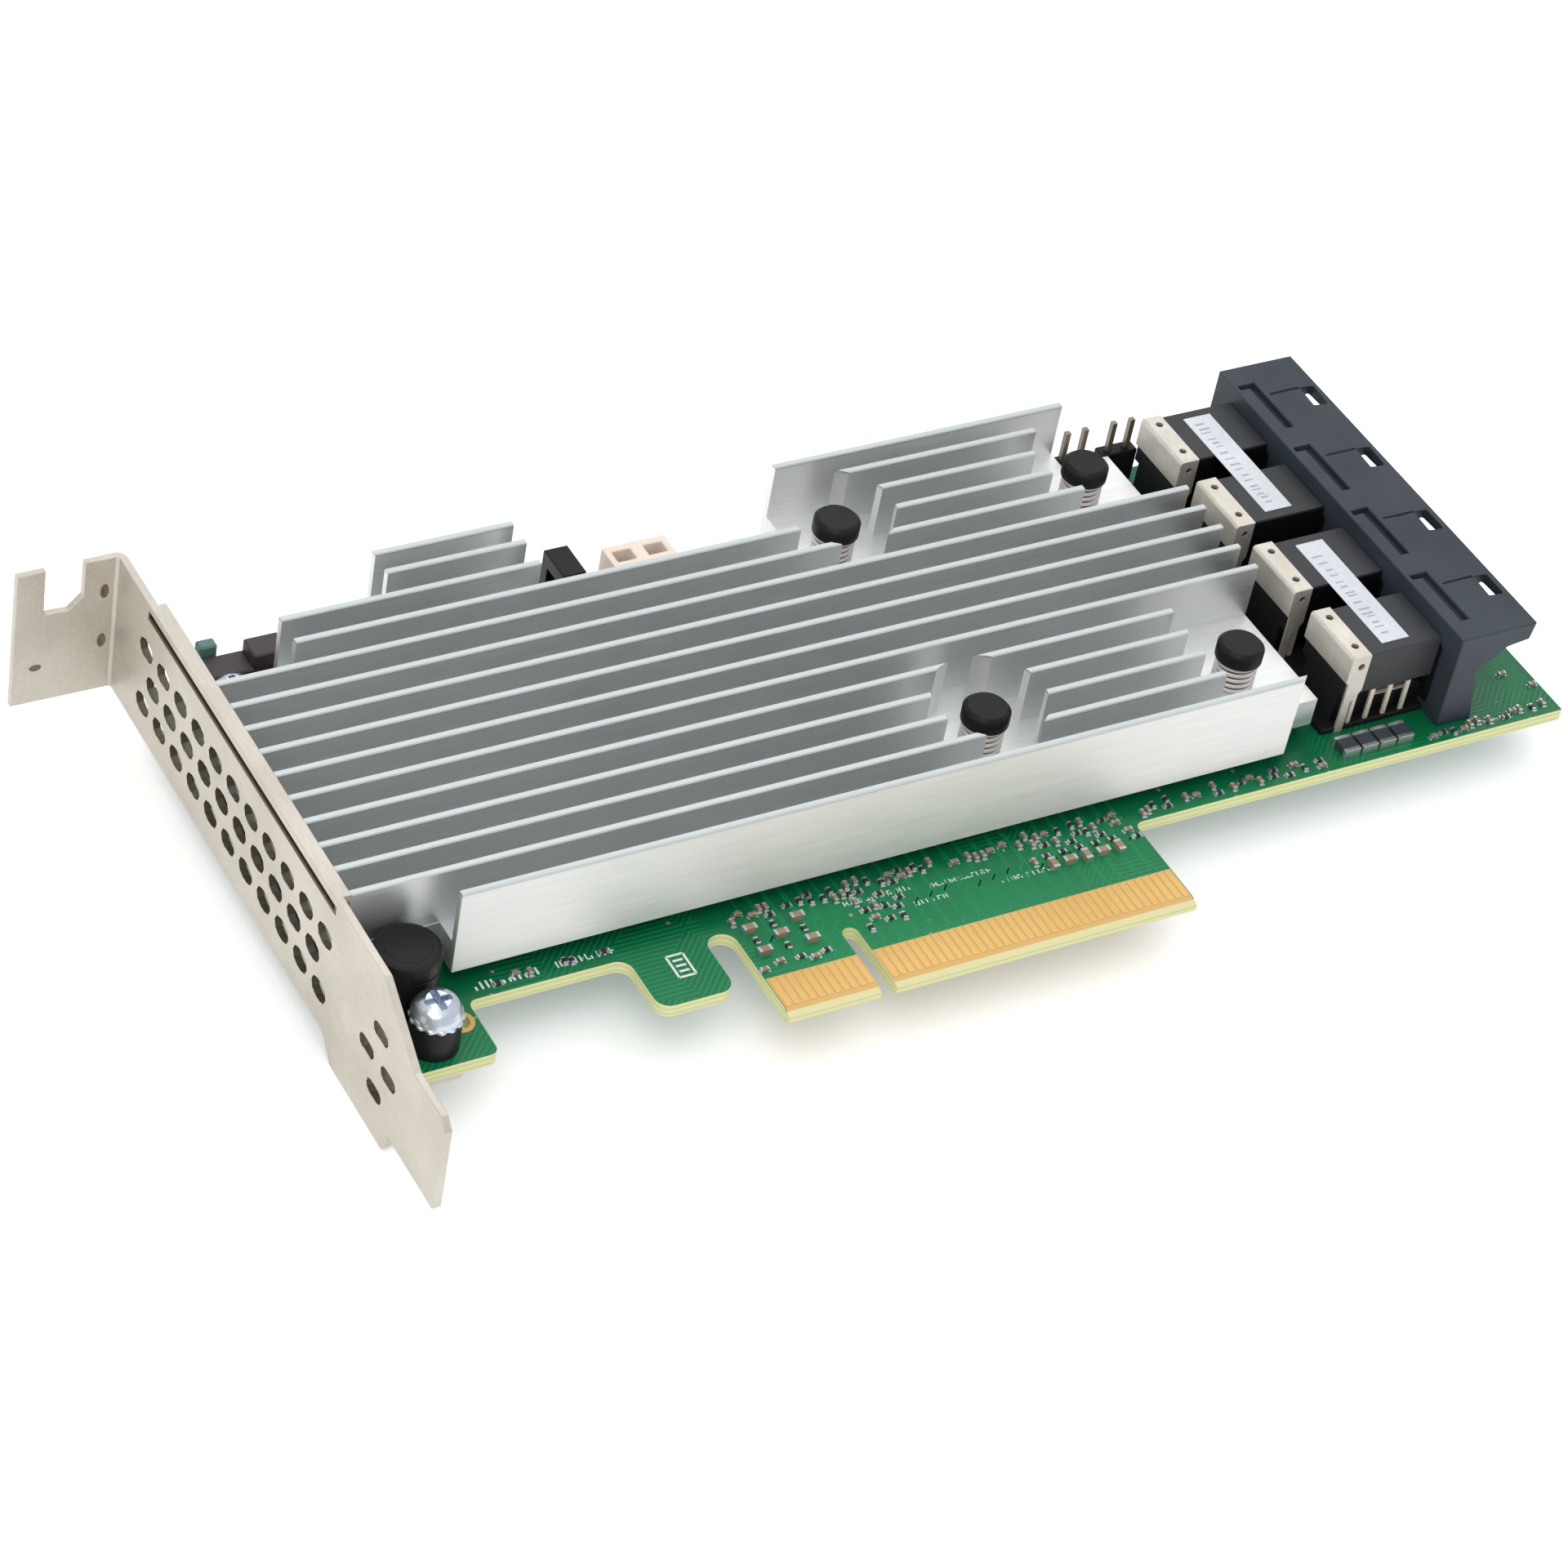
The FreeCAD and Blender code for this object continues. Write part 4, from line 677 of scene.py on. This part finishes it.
def makeBuzzer(look):
    # A turned case: a rounded rim, a seam where the cap meets the case, and a faint crown.
    low, high = boxOf("buzzer")
    centre, radius, top = (low + high) / 2, (high[0] - low[0]) / 2, high[2]
    rim, seam, foot = look["rim"], look["seam"], look["foot"]
    waist, shoulder = radius - look["seamDepth"], top - look["crownHigh"]
    profile = [(radius - foot, 0.0), (radius, foot), (radius, seam - 0.15), (waist, seam - 0.1),
               (waist, seam + 0.1), (radius, seam + 0.15), (radius, top - rim),
               (radius - 0.1, top - rim * 0.4), (radius - rim, shoulder),
               (look["crown"], shoulder), (look["crown"] - 0.15, top)]
    addTurned("buzzerCase", profile, [(centre[0], centre[1], 0)], slotOf["buzzer"], steps=48,
              stands=("buzzer",))


makeBuzzer(buzzerLook)

screwLook = {"teeth": 14, "toothDepth": 0.22, "toothFrom": 2.6, "washerRadius": 2.95,
             "washerHigh": 0.5, "washerSteps": 112, "bevel": 0.08}


def makeScrewWashers(look):
    # A toothed washer: the radius of a flat disc swings round the axis as a cosine, once per tooth.
    def teeth(points):
        radius = np.hypot(points[:, 0], points[:, 1])
        angle = np.arctan2(points[:, 1], points[:, 0])
        swing = np.where(radius > look["toothFrom"],
                         look["toothDepth"] * np.cos(look["teeth"] * angle) / 2, 0)
        scale = np.where(radius > 0, (radius + swing) / np.maximum(radius, 1e-6), 1)
        return np.column_stack([points[:, :2] * scale[:, None], points[:, 2]])

    places = []
    for end in ("front", "rear"):
        low, high = boxOf(f"bracket_spacer_{end}")
        places.append([*((low + high) / 2)[:2], high[2]])
    radius, high = look["washerRadius"] - look["toothDepth"] / 2, look["washerHigh"]
    addTurned("toothedWashers", [(radius, 0.0), (radius, high * 0.6), (radius - 0.25, high)],
              places, "steel", steps=look["washerSteps"], dent=teeth)
    for end in ("front", "rear"):
        softenedCopy(f"bracket_screw_{end}", look["bevel"], least=0.3)


makeScrewWashers(screwLook)

toolingLook = {"x": -45.2, "y": 10.9, "inner": 1.02, "outer": 1.55, "thick": 0.05, "steps": 40}


def makeToolingRing(look):
    # A flat ring of plated copper round the tooling hole on both faces: a rectangle turned about
    # the hole's axis.
    steps, inner, outer = look["steps"], look["inner"], look["outer"]
    angle = wheel(steps)
    boardLow = boxOf("circuit_board")[0][2]
    rings = []
    for low, high in ((0.0, look["thick"]), (boardLow - look["thick"], boardLow)):
        for radius, z in ((inner, low), (outer, low), (outer, high), (inner, high)):
            rings.append(np.stack([look["x"] + radius * np.cos(angle),
                                   look["y"] + radius * np.sin(angle), np.full(steps, z)], -1))
    i, j = np.meshgrid(np.arange(4), np.arange(steps), indexing="ij")
    k, m = (i + 1) % 4, (j + 1) % steps
    faces = np.stack([i * steps + j, i * steps + m, k * steps + m, k * steps + j], -1)
    mesh = makeMesh("toolingRing", np.array(rings),
                    repeatFaces(faces.reshape(-1, 4), 2, 4 * steps))
    addPiece("toolingRing", mesh, "gold")


makeToolingRing(toolingLook)

dimpleLook = {
    "rim": 0.10, "steps": 28,
    "bowl": [(1.0, -0.3), (1.0, 0.35), (0.86, 1.0), (0.70, 0.8), (0.35, 0.1)],
    # each mark: x, z, half its height, half its width
    "marks": [(-58.1, 9.0, 0.95, 0.5), (-58.1, 2.0, 0.95, 0.5), (-65.7, 0.0, 0.42, 0.7)]}


def makeDimples(look):
    # Pressed ovals beside the bend and one small mark low on the fixing tab: a turned bowl with a
    # raised rim, squeezed to an oval and stood on the tab's inner face, in a dark colour that is
    # painted shade.
    face = boxOf("slot_bracket")[1][1] - bracketPlate["thick"]
    points, quads, fans = latheParts(look["bowl"], look["steps"])
    bowls = [np.stack([x + points[:, 1] * wide, face - points[:, 2] * look["rim"],
                       z + points[:, 0] * tall], -1) for x, z, tall, wide in look["marks"]]
    mesh = makeMesh("pressedMarks", np.array(bowls), repeatFaces(quads, len(bowls), len(points)),
                    repeatFaces(fans, len(bowls), len(points)))
    addPiece("pressedMarks", mesh, "bracket", "paintedDimpleShade", smooth=True)


makeDimples(dimpleLook)
print("fittings made")

traceLook = {
    "width": 0.16, "high": 0.018, "pairGap": 0.32,
    # along y: where the pairs leave the contacts, start to close up, jog and end
    "leave": 5.6, "close": 6.1, "jogFrom": 10.2, "jogStep": 0.35, "jog": 0.9, "end": 20.0,
    "reach": (-11.0, 38.0), "notchHalf": 1.4,
    "lanes": 9, "lanePitch": 0.45, "laneX": 94.2, "laneY": (16.0, 30.0, 66.0), "laneJog": 0.9}


def makeTraces(look):
    # Signal pairs leave the edge contacts, close up, run towards the heatsink and jog once at 45
    # degrees; a second bundle climbs the right end of the board.
    xs = boxOf("edge_contacts_top")[0][0] + 0.35 + np.arange(51)
    xs = xs[(np.abs(xs) > look["notchHalf"]) & (xs > look["reach"][0]) & (xs < look["reach"][1])]
    pair = np.floor(xs / 2) * 2 + 1.0
    closed = pair + np.sign(xs - pair + 0.01) * look["pairGap"] / 2
    jogAt = look["jogFrom"] + look["jogStep"] * (np.arange(len(xs)) // 2 % 4)
    jog = look["jog"]

    def row(x, y):
        return np.stack([x, y + np.zeros(len(xs))], -1)

    paths = np.stack([row(xs, look["leave"]), row(xs, look["close"]),
                      row(closed, look["close"] + np.abs(closed - xs)), row(closed, jogAt),
                      row(closed + jog, jogAt + jog), row(closed + jog, look["end"])], axis=1)
    addRibbons("edgeTraces", paths, look["width"], 0.0, look["high"], "board", "coveredTrace")
    lane = np.arange(look["lanes"])
    x = look["laneX"] + look["lanePitch"] * lane
    bottom, bend, top = look["laneY"]
    bendY = bend + look["lanePitch"] * lane
    lanes = np.stack([np.stack([x, bottom + 0.2 * lane], -1), np.stack([x, bendY], -1),
                      np.stack([x - look["laneJog"], bendY + look["laneJog"]], -1),
                      np.stack([x - look["laneJog"], top - 0.3 * lane], -1)], axis=1)
    addRibbons("endTraces", lanes, look["width"], 0.0, look["high"], "board", "coveredTrace")


makeTraces(traceLook)

smallParts = {
    "length": 1.0, "width": 0.52, "high": 0.5, "end": 0.24, "gap": 0.25,
    "padLong": 0.34, "padWider": 0.1, "padHigh": 0.06,
    # each area: low x, high x, low y, high y, how many
    "upper": [(-11.6, 8.5, 13.9, 15.7, 22), (2.2, 8.0, 8.4, 13.4, 12), (-11.8, -3.2, 6.8, 8.3, 7),
              (24.5, 38.4, 11.4, 15.7, 26), (40.0, 66.5, 14.3, 15.7, 20),
              (80.2, 97.8, 14.2, 15.4, 12), (94.2, 98.2, 17.0, 60.0, 12),
              (-42.4, -26.0, 14.4, 15.6, 6), (9.0, 23.5, 14.3, 15.7, 12),
              (-52.0, -46.0, 22.0, 55.0, 14), (-40.0, 66.0, 66.6, 68.3, 44),
              (-12.0, 20.0, 62.5, 66.0, 22), (67.2, 69.2, 20.0, 66.0, 16)],
    "lower": [(-42.0, -14.0, 20.0, 62.0, 40), (4.0, 22.0, 22.0, 50.0, 22),
              (30.0, 66.0, 20.0, 64.0, 44), (82.0, 97.0, 18.0, 66.0, 18),
              (-10.0, 38.0, 9.0, 14.0, 26)]}


def takenAbove():
    # Plan boxes of the CAD nodes that stand on the board's upper face. The front capacitors and
    # resistors are many blocks to a node, so each of their corners takes a millimetre square.
    scattered = ("front_capacitors", "front_resistors")
    taken = []
    for node in nodes:
        low, high = boxOf(node)
        if (node not in ("circuit_board", "heatsink", "slot_bracket", *scattered)
                and high[2] > 0.1 and low[2] < 0.6):
            taken.append((low[0], low[1], high[0], high[1]))
    for node in scattered:
        plan = pointsOf(nodes[node].data)[:, :2]
        for x, y in np.unique(np.round(plan * 2) / 2, axis=0):
            taken.append((x - 0.5, y - 0.5, x + 0.5, y + 0.5))
    return taken


def takenBelow():
    # Plan boxes of the CAD nodes that reach below the board.
    floor = boxOf("circuit_board")[0][2]
    boxes = [boxOf(node) for node in nodes]
    return [(low[0], low[1], high[0], high[1]) for low, high in boxes if low[2] < floor - 0.02]


def freeSpots(look, areas, taken):
    # Draws places area by area and keeps those where nothing else stands.
    spots = []
    for lowX, highX, lowY, highY, count in areas:
        for _ in range(count * 6):
            upright = random.random() < 0.5
            x, y = random.uniform(lowX, highX), random.uniform(lowY, highY)
            reach = (look["width"], look["length"])
            reachX, reachY = reach if upright else reach[::-1]
            box = (x - reachX / 2 - look["gap"], y - reachY / 2 - look["gap"],
                   x + reachX / 2 + look["gap"], y + reachY / 2 + look["gap"])
            if all(box[2] < other[0] or box[0] > other[2] or box[3] < other[1] or box[1] > other[3]
                   for other in taken):
                taken.append((x - reachX / 2, y - reachY / 2, x + reachX / 2, y + reachY / 2))
                spots.append((x, y, upright, random.random()))
                count -= 1
            if count == 0:
                break
    return np.array(spots, float)


def makeSmallParts(look, prefix, taken, base, way):
    # Two-ended chip parts standing on a face of the board at height base, upwards (way 1) or
    # downwards (way -1).
    spots = freeSpots(look, look[prefix], taken)
    turns = spots[:, 2] * math.pi / 2
    isCapacitor = spots[:, 3] < 0.6
    direction = np.stack([np.cos(turns), np.sin(turns)], -1)
    length, width, end = look["length"], look["width"], look["end"]
    high = np.where(isCapacitor, look["high"], look["high"] * 0.7)
    for kind, chosen, slotName in (("TanChips", isCapacitor, "ceramic"),
                                   ("DarkChips", ~isCapacitor, "chip")):
        place = spots[chosen]
        bodies = np.column_stack([place[:, :2], base + way * high[chosen] / 2])
        extents = np.column_stack([np.full(len(place), length - 2 * end),
                                   np.full(len(place), width - 0.04), high[chosen] - 0.02])
        addBoxes(prefix + kind, bodies, extents, slotName, cut=0.02, turns=turns[chosen])

    def bothEnds(shift):
        return np.concatenate([spots[:, :2] + direction * shift, spots[:, :2] - direction * shift])

    count, bothTurns = 2 * len(spots), np.concatenate([turns, turns])
    tall = np.concatenate([high, high])
    addBoxes(f"{prefix}SolderedEnds",
             np.column_stack([bothEnds((length - end) / 2), base + way * tall / 2]),
             np.column_stack([np.full(count, end), np.full(count, width), tall]),
             "steel", "solder", cut=0.04, turns=bothTurns)
    padHigh = look["padHigh"]
    padMiddle = np.full(count, base + way * padHigh / 2)
    addBoxes(f"{prefix}SolderPads", np.column_stack([bothEnds(length / 2 + 0.02), padMiddle]),
             np.tile([look["padLong"], width + look["padWider"], padHigh], (count, 1)),
             "steel", "solder", cut=0.02, turns=bothTurns)


makeSmallParts(smallParts, "upper", takenAbove(), 0.0, 1)

collarLook = {"proud": 0.04, "proudTop": 0.03, "cut": 0.03,
              "reaches": {"front_capacitors": 0.32, "front_resistors": 0.22,
                          "underside_capacitors": 0.28, "filter_blocks": 0.45}}


def makeCollars(look):
    # Tinned ends for the CAD blocks: twelve triangles make a block, and a collar goes round each
    # end of its longer side.
    places, extents = [], []
    for node, reach in look["reaches"].items():
        mesh = nodes[node].data
        corners = readOut(mesh.loops, "vertex_index", kind=int)
        blocks = pointsOf(mesh)[corners].reshape(-1, 36, 3)
        low, high = blocks.min(1), blocks.max(1)
        middle, extent = (low + high) / 2, high - low
        alongX = (extent[:, 0] > extent[:, 1])[:, None]
        longer = np.where(alongX, [1, 0, 0], [0, 1, 0])
        shift = longer * (extent - reach) / 2
        proud = look["proud"]
        size = np.where(longer == 1, reach + proud, extent + [proud, proud, look["proudTop"]])
        places += [middle - shift, middle + shift]
        extents += [size, size]
    addBoxes("tinnedCollars", np.concatenate(places), np.concatenate(extents), "steel", "solder",
             cut=look["cut"])


makeCollars(collarLook)
print("small parts laid out")


inkLook = {
    "high": 0.015, "line": 0.28,
    # each row: low x, high x, middle y, stroke height, stroke width, least and most gap
    "rows": [(-41.5, -34.0, 15.0, 1.1, 0.26, 0.45, 0.75), (-32.0, -25.5, 15.1, 0.9, 0.2, 0.4, 0.8),
             (1.5, 10.0, 12.9, 0.7, 0.14, 0.3, 0.6), (12.0, 20.0, 12.3, 0.6, 0.13, 0.3, 0.7),
             (9.0, 13.5, 10.4, 0.6, 0.13, 0.3, 0.7), (20.0, 26.5, 10.3, 0.6, 0.13, 0.3, 0.8),
             (86.0, 92.0, 14.7, 0.5, 0.12, 0.3, 0.6)],
    # each outline: middle x, middle y, width, height
    "frames": [(-19.6, 10.6, 2.0, 3.2), (-46.6, 33.0, 3.0, 9.0), (96.2, 40.0, 3.0, 7.0)],
    "bars": (1.2, 0.3), "barPitch": 0.8,
    # the labels' strokes: margin, least and most width, height and gap
    "labelMargin": 1.5, "labelWide": (0.9, 1.5), "labelTall": (0.16, 0.34), "labelGap": (0.5, 1.3)}


def makeBoardInk(look):
    # Plain printed strokes in rows, and outlines round parts; the one on the latch tab has bars.
    centres, extents = [], []
    thick, z = look["high"], look["high"] / 2
    for lowX, highX, y, tall, wide, least, most in look["rows"]:
        x = lowX
        while x < highX:
            length = tall * random.choice([0.5, 1.0, 1.0])
            centres.append((x, y + (length - tall) / 2, z))
            extents.append((wide, length, thick))
            if random.random() < 0.5:
                centres.append((x + 0.2, y + random.choice([-0.4, 0, 0.4]) * tall, z))
                extents.append((0.4, wide, thick))
            x += random.uniform(least, most)
    for x, y, wide, tall in look["frames"]:
        for side in (-1, 1):
            centres += [(x + side * wide / 2, y, z), (x, y + side * tall / 2, z)]
            extents += [(look["line"], tall, thick), (wide, look["line"], thick)]
    x, y = look["frames"][0][:2]
    centres += [(x, y + step * look["barPitch"], z) for step in (-1, 0, 1)]
    extents += [(*look["bars"], thick)] * 3
    addBoxes("printedMarks", centres, extents, "label", "ink", cut=0.003)


def makeLabelInk(look):
    # A column of grey strokes along each label, with no pattern that reads as anything.
    marks, spans = [], []
    for index in (1, 2):
        low, high = boxOf(f"blank_label_{index}")
        y = low[1] + look["labelMargin"]
        while y < high[1] - look["labelMargin"]:
            wide = random.uniform(*look["labelWide"])
            x = (low[0] + high[0]) / 2 - 0.5 + random.uniform(-0.1, 0.1)
            marks.append((x, y, high[2] + 0.004))
            spans.append((wide, random.uniform(*look["labelTall"]), 0.012))
            y += random.uniform(*look["labelGap"])
    addBoxes("labelStrokes", marks, spans, "label", "greyInk", cut=0.002)


makeBoardInk(inkLook)
makeLabelInk(inkLook)

jointLook = {"leadRows": (71.9, 73.2, 76.9, 78.2), "leads": 7, "edge": 0.8, "headerIn": 0.32,
             "headerPitch": 2.54, "socketHalfPitch": 1.0,
             # the cone's radius at its tip, shoulder, flank and foot, and how far each hangs down
             "cone": [(0.12, 0.75), (0.24, 0.62), (0.34, 0.3), (0.56, 0.0)]}


def makeSolderJoints(look):
    # Solder cones under the board where leads and header pins come through: a cone with a
    # hollowed flank, carried round each lead.
    places = []
    for index in ports:
        low, high = boxOf(f"port_module_{index}")
        lane = np.linspace(low[1] + look["edge"], high[1] - look["edge"], look["leads"])
        places += [(row, y, 0) for row in look["leadRows"] for y in lane]
    low, high = boxOf("pin_header_pins")
    left, right, pitch = low[0] + look["headerIn"], high[0] - look["headerIn"], look["headerPitch"]
    places += [(x, (low[1] + high[1]) / 2, 0) for x in (left, left + pitch, right - pitch, right)]
    for node in ("two_way_header", "shrouded_socket", "stepped_socket"):
        low, high = boxOf(node)
        middle = (low + high) / 2
        places += [(middle[0] + side * look["socketHalfPitch"], middle[1], 0) for side in (-1, 1)]
    floor = boxOf("circuit_board")[0][2]
    profile = [(radius, floor - hang) for radius, hang in look["cone"]]
    addTurned("solderJoints", profile, places, "steel", "solder", steps=12, smooth=True)


makeSolderJoints(jointLook)
makeSmallParts(smallParts, "lower", takenBelow(), boxOf("circuit_board")[0][2], -1)
print("printing and solder done")

socketLook = {"bevel": 0.12, "aside": 0.35, "contactHeight": 5.4, "contact": (0.8, 0.1, 1.7)}


def makeShroudedSocket(look):
    # The slanted shroud with eased edges, and a contact blade at the mouth of its well.
    softenedCopy("shrouded_socket", look["bevel"])
    low, high = boxOf("shrouded_socket")
    place = ((low[0] + high[0]) / 2 - look["aside"], low[1] - 0.02, look["contactHeight"])
    addBoxes("socketContact", [place], [look["contact"]], "steel", "solder", cut=0.04)


makeShroudedSocket(socketLook)

rearBlockLook = {"stepAt": -45.4, "lowTop": 4.6, "highTop": 6.2, "cut": 0.18,
                 "teal": (2.1, 1.5, 5.8), "stop": (1.0, 0.8, 4.4)}


def makeRearBlocks(look):
    # The stepped moulding behind the bracket, the small teal block beside it and a pale end stop.
    low, high = boxOf("stepped_socket")
    middle, deep = (low[1] + high[1]) / 2, high[1] - low[1]
    step, lowTop, highTop = look["stepAt"], look["lowTop"], look["highTop"]
    addBoxes("steppedMoulding", [((low[0] + step) / 2, middle, lowTop / 2),
                                 ((high[0] + step) / 2 - 0.05, middle + 0.1, highTop / 2)],
             [(step - low[0], deep, lowTop), (high[0] - step + 0.1, deep - 0.3, highTop)],
             slotOf["stepped_socket"], "brownBlock", cut=look["cut"], stands=("stepped_socket",))
    addBoxes("tealBlock", [(low[0] + 1.0, high[1] + 0.95, look["teal"][2] / 2)], [look["teal"]],
             "grey_plastic", "teal", cut=0.2)
    addBoxes("paleStop", [(high[0] - 1.4, low[1] - 0.5, look["stop"][2] / 2)], [look["stop"]],
             "beige_plastic", cut=0.12)


makeRearBlocks(rearBlockLook)

portLook = {"backThick": 0.4, "backWide": 9.7, "backLow": 1.05, "backHigh": 9.65, "backIn": 0.05,
            "skirt": (6.2, 3.9, 2.0), "skirtBack": 3.2, "skirtAside": 1.9,
            "baseReach": 1.8, "baseSide": 0.2, "baseHigh": 0.8}


def makeModuleBacks(look):
    # A dark wall closes the back of each port round its module, a low skirt joins the modules,
    # and one thin base plate runs under all four.
    centres, extents = [], []
    wallX = boxOf("port_housing")[0][0] + look["backIn"] + look["backThick"] / 2
    for index in ports:
        low, high = boxOf(f"port_module_{index}")
        centres.append((wallX, (low[1] + high[1]) / 2, (look["backLow"] + look["backHigh"]) / 2))
        extents.append((look["backThick"], look["backWide"], look["backHigh"] - look["backLow"]))
        if index < len(ports):
            centres.append((high[0] - look["skirtBack"], high[1] + look["skirtAside"],
                            look["skirt"][2] / 2))
            extents.append(look["skirt"])
    addBoxes("portBackWalls", centres, extents, "black_plastic", cut=0.1)
    first, last = boxOf("port_module_1"), boxOf(f"port_module_{len(ports)}")
    lowX, highX = first[0][0] - look["baseReach"], first[1][0]
    lowY, highY = first[0][1] - look["baseSide"], last[1][1] + look["baseSide"]
    addBoxes("moduleBase", [((lowX + highX) / 2, (lowY + highY) / 2, look["baseHigh"] / 2)],
             [(highX - lowX, highY - lowY, look["baseHigh"])], "black_plastic", cut=0.15)


makeModuleBacks(portLook)
print("connectors dressed")

studio = {"floor": (0.90, 0.90, 0.90), "floorRoughness": 0.9, "glow": 0.24, "world": 0.85,
          "floorSize": 3.0}


def makeStudio(look):
    # A pale floor under the lowest point, with a slight glow of its own, and an even white sky.
    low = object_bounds()[0]
    half = look["floorSize"] / 2
    corners = [[-half, -half, low.z], [half, -half, low.z], [half, half, low.z],
               [-half, half, low.z]]
    mesh = bpy.data.meshes.new("studioFloor")
    mesh.from_pydata(corners, [], [[0, 1, 2, 3]])
    material, tree, shader = newMaterial("paleFloor")
    plug(tree, shader, {"Base Color": (*look["floor"], 1), "Roughness": look["floorRoughness"],
                        "Emission Color": (1, 1, 1, 1), "Emission Strength": look["glow"]})
    mesh.materials.append(material)
    floor = newObject("studioFloor", mesh)
    floor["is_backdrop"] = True
    world = bpy.data.worlds.new("studioSky")
    bpy.context.scene.world = world
    world.use_nodes = True
    plug(world.node_tree, world.node_tree.nodes["Background"],
         {"Color": (1, 1, 1, 1), "Strength": look["world"]})


lamps = {"keyPanel": {"place": (-0.35, -0.30, 0.75), "size": 0.7, "power": 2.2},
         "topPanel": {"place": (0.25, 0.35, 0.80), "size": 0.9, "power": 2.2}}


def makeLamps(looks):
    aim = Vector((0.0, 0.035, 0.0))
    for name, look in looks.items():
        light = bpy.data.lights.new(name, "AREA")
        light.shape = "SQUARE"
        light.size = look["size"]
        light.energy = look["power"]
        lamp = newObject(name, light)
        lamp.location = look["place"]
        lamp.rotation_euler = (aim - lamp.location).to_track_quat("-Z", "Y").to_euler()


shot = {"target": (4.55, 32.1, 0.0), "distance": 506.6, "heading": 36.264, "downTilt": 41.136,
        "roll": 11.625, "lens": 105.66}


def makeCamera(look):
    # The camera stands back from its target along the view, then rolls about it.
    heading, tilt = math.radians(look["heading"]), math.radians(look["downTilt"])
    forward = Vector((math.sin(heading) * math.cos(tilt), math.cos(heading) * math.cos(tilt),
                      -math.sin(tilt)))
    right = forward.cross(Vector((0, 0, 1))).normalized()
    up = right.cross(forward)
    roll = Matrix.Rotation(math.radians(look["roll"]), 3, -forward)
    right, up = roll @ right, roll @ up
    data = bpy.data.cameras.new("studioView")
    data.lens = look["lens"]
    data.sensor_width = 36
    data.clip_start = 0.01
    camera = newObject("studioView", data)
    turn = Matrix((right, up, -forward)).transposed().to_4x4()
    place = (Vector(look["target"]) - forward * look["distance"]) * mil
    camera.matrix_world = Matrix.Translation(place) @ turn
    bpy.context.scene.camera = camera


makeStudio(studio)
makeLamps(lamps)
makeCamera(shot)
bpy.context.scene.view_settings.view_transform = "Standard"
print("studio set")
